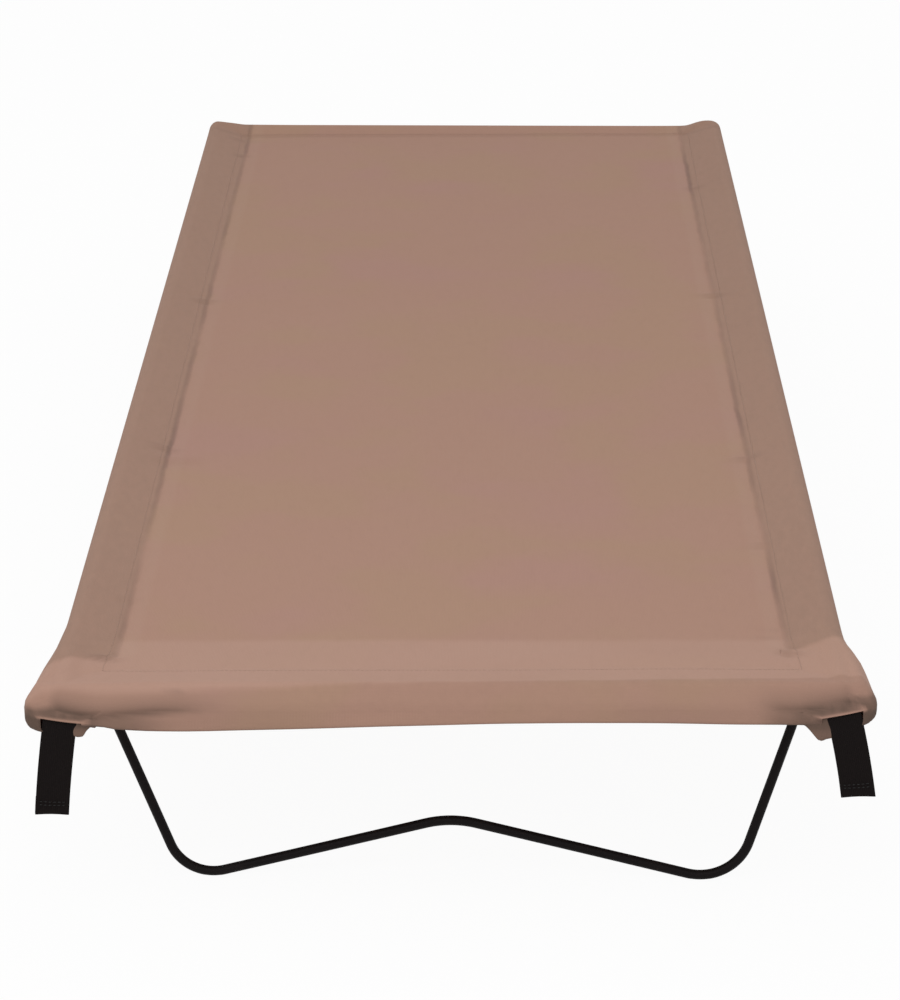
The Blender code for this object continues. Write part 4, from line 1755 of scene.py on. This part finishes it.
@dataclass(frozen=True)
class Stitching:
    """Rows of lockstitch: each stitch is a small bead of thread that sinks in at its ends."""

    pitch: float = 0.0034
    length: float = 0.0026
    width: float = 0.00055
    height: float = 0.00035
    rings: tuple[float, ...] = (-0.36, 0.0, 0.36)
    corners: int = 6

    def bead(self) -> tuple[Array, list]:
        """Return a stitch along X: three hexagons, larger in the middle, and two poles.

        Returns:
            The stitch's points and its faces.
        """
        stations = np.array(self.rings)
        swell = np.sqrt(1 - (stations / 0.5) ** 2)
        angle = np.arange(self.corners) * 2 * math.pi / self.corners
        x = np.repeat(stations * self.length, self.corners)
        y = np.outer(swell, np.cos(angle)).ravel() * self.width / 2
        z = np.outer(swell, np.sin(angle)).ravel() * self.height
        poles = np.array([[-self.length / 2, 0, 0], [self.length / 2, 0, 0]])
        points = np.concatenate([np.stack([x, y, z], axis=1), poles])
        index = np.arange(x.size).reshape(len(stations), self.corners)
        faces = lattice(index.T, closed=True).tolist()
        first, last = index.size, index.size + 1
        faces += [[first, *pair[::-1]] for pair in zip(index[0], np.roll(index[0], -1))]
        faces += [[last, *pair] for pair in zip(index[-1], np.roll(index[-1], -1))]
        return points, faces

    def row(self, line: Array, normal: Array) -> tuple[Array, Array, Array]:
        """Return the stitches of one row.

        Args:
            line: the row's line.
            normal: the cloth's normal.

        Returns:
            The stitches' places, their headings and the normals there.
        """
        distance = walked(line)
        spots = np.arange(self.pitch / 2, distance[-1], self.pitch)
        place = np.stack([np.interp(spots, distance, axis) for axis in line.T], axis=1)
        ahead = np.stack([np.interp(spots + 1e-4, distance, axis) for axis in line.T], axis=1)
        heading = ahead - place
        heading /= np.linalg.norm(heading, axis=1)[:, None]
        return place, heading, np.broadcast_to(normal, heading.shape)

    def build(self, name: str, rows: list[tuple[Array, Array]], body: str, slot: str,
              material: Material) -> bpy.types.Object:
        """Make all stitches of some rows as one object.

        Every stitch is the bead with its X along the row and its Z along the cloth's normal.

        Args:
            name: the object's name.
            rows: each row's line and the cloth's normal.
            body: the body that it rides on.
            slot: the material slot that it belongs to; not used.
            material: the thread's material.

        Returns:
            The object.
        """
        bead, bead_faces = self.bead()
        sets = [self.row(line, normal) for line, normal in rows]
        place, heading, normal = (np.concatenate(part) for part in zip(*sets))
        across = np.cross(normal, heading)
        across /= np.linalg.norm(across, axis=1)[:, None]
        up = np.cross(heading, across)
        axes = np.stack([heading, across, up], axis=1)
        points = (place[:, None] + bead @ axes).reshape(-1, 3)
        faces = [[corner + first for corner in face]
                 for first in range(0, len(points), len(bead)) for face in bead_faces]
        chart = np.tile(bead[:, :2], (len(place), 1))
        obj = make_mesh(name, points, faces, chart, material)
        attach(obj, body)
        return obj


# Legs


@dataclass(frozen=True)
class Peg:
    """A round peg that the wire's centre line is bent over (way 1) or under (way -1)."""

    x: float
    z: float
    radius: float
    way: int

    def leaving(self, other: "Peg") -> float:
        """Return the angle at which the wire leaves this peg for the next.

        Args:
            other: the next peg.

        Returns:
            The angle of the touching point round this peg, from its X.
        """
        offset = self.way * self.radius - other.way * other.radius
        heading = math.atan2(other.z - self.z, other.x - self.x)
        return heading - math.acos(offset / math.hypot(other.x - self.x, other.z - self.z))

    def arc(self, start: float, end: float, steps: int) -> Array:
        """Return points round the peg from one angle to another, as (x, z)."""
        angle = np.linspace(start, end, steps)
        return np.stack([self.x + self.radius * np.cos(angle),
                         self.z + self.radius * np.sin(angle)], axis=1)


@dataclass(frozen=True)
class WireLeg:
    """One bent wire: tips in the rails, two arms, two feet and a hump in the middle.

    The wire is dipped in a coat that stops short of its tips, which turn bare in their holes.
    """

    bed: Bed
    number: int
    tip_bend: float = 0.0050
    tip_length: float = 0.013
    hole_play: float = 0.00015
    feet: Pair = (0.1895, 0.1895)
    hump_x: float = 0.0
    twist: float = 0.0
    foot_bends: Pair = (0.040, 0.040)
    foot_flat: float = 0.0005
    coat: float = 0.0003
    coat_end: float = 0.005
    hump_height: float = 0.0506
    hump_bend: float = 0.080
    arc_steps: tuple[int, int, int] = (14, 36, 16)
    step: float = 0.0042
    sides: int = 18
    end_round: Pair = (0.25, 0.001)

    @classmethod
    def near(cls, bed: Bed) -> "WireLeg":
        """Return the near leg, a little uneven and twisted as the photo shows it."""
        return cls(bed, 1, feet=(0.1862, 0.1900), hump_x=-0.0015, twist=0.0045,
                   foot_bends=(0.0345, 0.0395))

    def half_line(self, side: Side) -> Array:
        """Return half of the wire's centre line, X counted outwards from the middle.

        It is made of arcs round pegs with straight lines in between, from the tip to the top
        of the hump.

        Args:
            side: the half that is wanted.

        Returns:
            The line's points as (x, z).
        """
        pivot_z, wire = self.bed.rail_z, self.bed.wire_radius
        end = 0 if side is Side.LEFT else 1
        bend, foot_bend, hump_bend = self.tip_bend, self.foot_bends[end], self.hump_bend
        tip_x = self.bed.rail_x - self.bed.rail_radius - self.hole_play
        tip = Peg(tip_x, pivot_z - bend, bend, 1)
        foot = Peg(self.feet[end], wire - self.foot_flat + foot_bend, foot_bend, -1)
        hump = Peg(side.value * self.hump_x, self.hump_height - wire - hump_bend, hump_bend, 1)
        top = math.pi / 2
        arm = top + (tip.leaving(foot) - top) % (2 * math.pi)
        run = foot.leaving(hump) % (2 * math.pi)
        tip_steps, foot_steps, hump_steps = self.arc_steps
        straight = np.array([[tip_x + self.tip_length, pivot_z], [tip_x + bend, pivot_z]])
        return np.concatenate([straight, tip.arc(top, arm, tip_steps),
                               foot.arc(arm - math.pi, run - math.pi, foot_steps),
                               hump.arc(run, top, hump_steps)])

    def centre_line(self) -> Array:
        """Return the wire's whole centre line as (x, z), from the right tip to the left."""
        left, right = (self.half_line(side) * (side.value, 1) for side in Side)
        return np.concatenate([right, left[-2::-1]])

    def build(self, material: Material) -> bpy.types.Object:
        """Make the leg: a circle carried along the line, with eased ends and flat feet.

        Args:
            material: the wire's coat.

        Returns:
            The leg.
        """
        wire = self.bed.wire_radius
        line = evenly(self.centre_line(), self.step)
        distance = walked(line)
        from_end = np.minimum(distance, distance[-1] - distance)
        coat = self.coat * smooth(from_end, self.tip_length, self.tip_length + self.coat_end)
        share, reach = self.end_round
        radius = (wire + coat) * (1 - share * np.clip(1 - from_end / reach, 0, 1))
        radius = radius[:, None]
        angle = np.arange(self.sides) * 2 * math.pi / self.sides
        points, faces, chart = swept(line, radius * np.sin(angle), radius * np.cos(angle))
        across, x, z = points.T
        sunk = 1 - z / self.bed.rail_z
        y = self.bed.stations[self.number - 1] + across - self.twist * sunk * x / self.feet[1]
        points = np.stack([x, y, np.maximum(z, 0.0)], axis=1)
        faces = [face[::-1] for face in faces]
        name = f"leg_{self.number}"
        obj = make_mesh(f"wire_{name}", points, faces, chart, material)
        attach(obj, name)
        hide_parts(name)
        return obj


# Straps


@dataclass(frozen=True)
class PullStrap:
    """A webbing strap that hangs from its stitched root, its lower end folded up behind.

    lean tilts the whole strap, cut slants its end and twist turns its lower end, in degrees;
    sway bows it sideways.
    """

    bed: Bed
    side: Side
    length: float
    lean: float
    sway: float
    cut: float
    twist: float = 0.0
    width: float = 0.0254
    thick: float = 0.0015
    hem: float = 0.014
    bow: float = 0.002
    tuck: float = 0.005
    cup: float = 0.0007
    cup_span: Pair = (0.012, 0.05)
    thread_rows: Pair = (0.003, 0.0055)
    thread_inset: float = 0.002
    thread_steps: int = 24
    root_span: Pair = (0.002, -0.008)
    root_start: float = 0.0010
    root_slope: float = 0.9
    fold_round: float = 0.52
    cut_span: Pair = (0.55, 1.0)
    edge_power: float = 0.42
    face_power: float = 0.30
    steps: tuple[int, int, int] = (46, 9, 12)
    sides: int = 60

    def place(self) -> Matrix:
        """Return the strap's own axes: X across, Y back and Z up the strap from its root."""
        turn = Matrix.Rotation(math.radians(self.lean), 4, "Y")
        return Matrix.Translation(self.bed.roots[self.side]) @ turn

    def centre_line(self) -> Array:
        """Return the side view's line: down in a shallow bow, round, and up again.

        Above its root the strap leans back, under the pocket.

        Returns:
            The line's points as (y, z).
        """
        down_steps, turn_steps, up_steps = self.steps
        down = np.linspace(self.tuck, -self.length + self.thick, down_steps)
        bow = self.bow * np.sin(math.pi * np.clip(down / -self.length, 0, 1))
        bow = bow + self.root_slope * np.clip(down + self.root_start, 0, None)
        front = np.stack([bow, down], axis=1)
        turn = self.thick * self.fold_round
        angle = np.linspace(math.pi, 2 * math.pi, turn_steps)[1:-1]
        fold = np.stack([front[-1, 0] + turn + turn * np.cos(angle),
                         front[-1, 1] + turn * np.sin(angle)], axis=1)
        up = np.linspace(front[-1, 1], -self.length + self.hem, up_steps)
        back = np.interp(up, down[::-1], bow[::-1]) + 2 * turn
        return np.concatenate([front, fold, np.stack([back, up], axis=1)])

    def cupped(self, across: Array) -> Array:
        """Return how far the strap's middle stands forward of its edges."""
        return self.cup * (1 - (across / (self.width / 2)) ** 2)

    def laid(self, points: Array) -> Array:
        """Return points of the strap's own axes in the bed's, with its sway and slanting end.

        Args:
            points: the points as X across, Y back and Z up the strap.

        Returns:
            Their places in the bed.
        """
        x, y, z = points.T
        share = np.clip(-z / self.length, 0, 1)
        slant = x * math.tan(math.radians(self.cut)) * smooth(share, *self.cut_span)
        turn = math.radians(self.twist) * share
        across = x * np.cos(turn) - y * np.sin(turn) + self.sway * 4 * share * (1 - share)
        local = np.stack([across, y * np.cos(turn) + x * np.sin(turn), z - slant], axis=1)
        place = np.array(self.place())
        return local @ place[:3, :3].T + place[:3, 3]

    def build(self, material: Material) -> bpy.types.Object:
        """Make the strap: a flat section with round edges carried along the line.

        Args:
            material: its webbing.

        Returns:
            The strap.
        """
        line = self.centre_line()
        angle = np.linspace(0, 2 * math.pi, self.sides, endpoint=False)
        cosine, sine = np.cos(angle), np.sin(angle)
        across = self.width / 2 * np.sign(cosine) * np.abs(cosine) ** self.edge_power
        through = self.thick / 2 * np.sign(sine) * np.abs(sine) ** self.face_power
        out = through + self.cupped(across) * smooth(walked(line), *self.cup_span)[:, None]
        points, faces, chart = swept(line, np.broadcast_to(across, out.shape), out)
        name = f"strap_{self.side.word}"
        obj = make_mesh(f"webbing_{name}", self.laid(points), faces, chart, material)
        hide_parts(f"pull_{name}")
        upper, lower = (self.place() @ Vector((0, 0, z)) for z in self.root_span)
        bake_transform(obj)
        self.length + self.hem + self.tuck
        return obj

    def stitched(self, stitching: Stitching, material: Material) -> bpy.types.Object:
        """Sew the folded end: two rows across the strap, on its front.

        Args:
            stitching: the stitches.
            material: their thread.

        Returns:
            The two rows as one object.
        """
        reach = self.width / 2 - self.thread_inset
        across = np.linspace(-reach, reach, self.thread_steps)
        turn = np.array(self.place())[:3, :3]
        rows = []
        for below_edge in self.thread_rows:
            z = -self.length + self.hem - below_edge
            bow = self.bow * math.sin(math.pi * -z / self.length)
            y = bow - self.cupped(across) - self.thick / 2
            line = np.stack([across, y, np.full_like(across, z)], axis=1)
            rows.append((self.laid(line), turn @ np.array([0.0, -1.0, 0.0])))
        name = f"strap_{self.side.word}"
        return stitching.build(f"{name}_thread", rows, name, "strap_webbing", material)


# Studio


@dataclass(frozen=True)
class Lamp:
    """A square soft lamp; target is the point that it faces."""

    name: str
    place: tuple[float, float, float]
    size: float
    power: float
    target: tuple[float, float, float] = (0.0, -0.1, 0.18)

    def build(self) -> None:
        """Make the lamp."""
        data = bpy.data.lights.new(self.name, "AREA")
        data.size = self.size
        data.energy = self.power
        lamp = bpy.data.objects.new(self.name, data)
        aim = Vector(self.target) - Vector(self.place)
        turn = aim.to_track_quat("-Z", "Y").to_matrix().to_4x4()
        lamp.matrix_world = Matrix.Translation(self.place) @ turn
        bpy.context.scene.collection.objects.link(lamp)


@dataclass(frozen=True)
class Studio:
    """A white paper floor, soft lamps and the camera where the photographer's stood.

    The camera's place and angles, in degrees, were fitted to the bed's corners and feet.
    """

    place: tuple[float, float, float] = (0.02949, -3.56490, 1.25377)
    yaw: float = 0.6344
    pitch: float = 18.9793
    roll: float = -0.3443
    lens: float = 139.9
    ambient: float = 0.68
    floor_reach: float = 40.0
    paper: Colour = (0.86, 0.86, 0.86)
    white_share: float = 0.95
    lamps: tuple[Lamp, ...] = (Lamp("key", (-0.5, -2.2, 2.2), size=1.8, power=22.5),
                               Lamp("top", (-0.4, 0.7, 3.4), size=3.0, power=10.5))

    def camera(self) -> None:
        """Make the camera."""
        data = bpy.data.cameras.new("camera")
        data.lens = self.lens
        data.clip_start, data.clip_end = 0.05, 200.0
        camera = bpy.data.objects.new("camera", data)
        camera.matrix_world = Matrix.Translation(self.place)
        for angle, axis in ((self.yaw, "Z"), (90 - self.pitch, "X"), (self.roll, "Z")):
            turn = Matrix.Rotation(math.radians(angle), 4, axis)
            camera.matrix_world = camera.matrix_world @ turn
        bpy.context.scene.collection.objects.link(camera)
        bpy.context.scene.camera = camera

    @staticmethod
    def seen(bench: Bench) -> Signal:
        """Return 1 for what the camera sees, also as a reflection, and 0 for light.

        Args:
            bench: the place where the nodes are made.

        Returns:
            The number's signal.
        """
        path = bench.add("ShaderNodeLightPath")
        names = ("Is Camera Ray", "Is Glossy Ray", "Is Transmission Ray")
        camera, glossy, clear = (Signal(bench, path.outputs[name]) for name in names)
        return camera.largest(glossy).largest(clear)

    def world(self) -> None:
        """Make the surroundings: even light, and white where they are seen or mirrored."""
        world = bpy.data.worlds.new("studio")
        world.use_nodes = True
        bench = Bench(world.node_tree)
        world.node_tree.nodes.clear()
        even = bench.add("ShaderNodeBackground", None, (1.0, 1.0, 1.0), self.ambient)
        white = bench.add("ShaderNodeBackground", None, (1.0, 1.0, 1.0), 1.0)
        mix = bench.add("ShaderNodeMixShader", None, self.seen(bench), even.outputs[0],
                        white.outputs[0])
        bench.add("ShaderNodeOutputWorld", None, mix.outputs[0])
        bpy.context.scene.world = world

    def floor(self) -> None:
        """Make the floor: white paper, which keeps a trace of the bed's shadow."""
        reach = self.floor_reach
        points = np.array([[-reach, -reach, 0], [reach, -reach, 0], [reach, reach, 0],
                           [-reach, reach, 0]], float)
        bench = Bench.for_material("paper_floor")
        fibre = bench.noise(0.002, 3.0)
        bench.finish(Base_Color=self.paper, Roughness=0.85 + fibre * 0.1, Specular_IOR_Level=0.1)
        white = bench.add("ShaderNodeEmission", None, (1.0, 1.0, 1.0), 1.0)
        mix = bench.add("ShaderNodeMixShader", None, self.seen(bench) * self.white_share,
                        bench.shader.outputs[0], white.outputs[0])
        bench.join(mix.outputs[0], bench.tree.nodes["Material Output"].inputs["Surface"])
        floor = make_mesh("floor", points, [[0, 1, 2, 3]], points[:, :2], bench.material)

    def build(self) -> None:
        """Make the whole studio."""
        self.camera()
        self.world()
        self.floor()
        for lamp in self.lamps:
            lamp.build()
        bpy.context.scene.view_settings.view_transform = "Standard"


@dataclass(frozen=True)
class HiddenFrame:
    """The tubes, elbows, ferrules and rivets under the cloth, kept as the model's own nodes."""

    coat: PowderCoat = PowderCoat("tube_coat")
    nylon: MouldedNylon = MouldedNylon()
    steel: BareMetal = BareMetal("drawn_steel", (0.45, 0.45, 0.44), (0.33, 0.33, 0.33), 0.38,
                                 (1.0, 14.0, 1.0))
    aluminium: BareMetal = BareMetal("rivet_metal", (0.70, 0.70, 0.70), (0.52, 0.52, 0.52), 0.34,
                                     (1.0, 1.0, 1.0))

    def dress(self) -> int:
        """Give each node the finish of its kind.

        Returns:
            How many nodes got one.
        """
        coat = self.coat.material()
        finishes = {"rail": coat, "end": coat, "corner": self.nylon.material(),
                    "ferrule": self.steel.material(), "rivet": self.aluminium.material()}
        dressed = {name: finishes[name.split("_")[0]] for name in frame["nodes"]
                   if name.split("_")[0] in finishes}
        for name, finish in dressed.items():
            frame["nodes"][name].data.materials.clear()
            frame["nodes"][name].data.materials.append(finish)
        return len(dressed)


def main() -> None:
    """Build the studio and every piece."""
    logging.basicConfig(level=logging.INFO, format="%(name)s: %(message)s")
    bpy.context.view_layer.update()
    Studio().build()
    LOG.info("finished %d hidden frame pieces", HiddenFrame().dress())
    bed = Bed.from_frame()
    cover = Cover(bed)
    cloth = cover.cloth_finish().material()
    webbing = Webbing().material()
    coat = PowderCoat("wire_coat").material()
    brown = Thread("brown_thread", main=(0.37, 0.23, 0.17), light=(0.46, 0.30, 0.23)).material()
    black = Thread("black_thread", main=(0.006, 0.006, 0.006), light=(0.02, 0.02, 0.02)).material()
    stitching = Stitching()
    sheet, seam_line = cover.build(cloth)
    LOG.info("made %s", sheet.name)
    for corner in cover.corners:
        LOG.info("made %s", cover.tuck(corner, cloth).name)
    seams = stitching.build("cover_stitching", [(seam_line, np.array([0.0, 0.0, 1.0]))],
                            "frame", "cover_cloth", brown)
    LOG.info("made %s", seams.name)
    legs = [WireLeg.near(bed)]
    legs += [WireLeg(bed, number) for number in range(2, len(bed.stations) + 1)]
    for leg in legs:
        LOG.info("made %s", leg.build(coat).name)
    straps = (PullStrap(bed, Side.LEFT, length=0.0770, lean=6.5, sway=-0.0006, cut=0.5, twist=14.0),
              PullStrap(bed, Side.RIGHT, length=0.0677, lean=-10.8, sway=0.0010, cut=9.0))
    for strap in straps:
        LOG.info("made %s", strap.build(webbing).name)
        LOG.info("made %s", strap.stitched(stitching, black).name)
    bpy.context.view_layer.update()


if __name__ == "__main__":
    main()
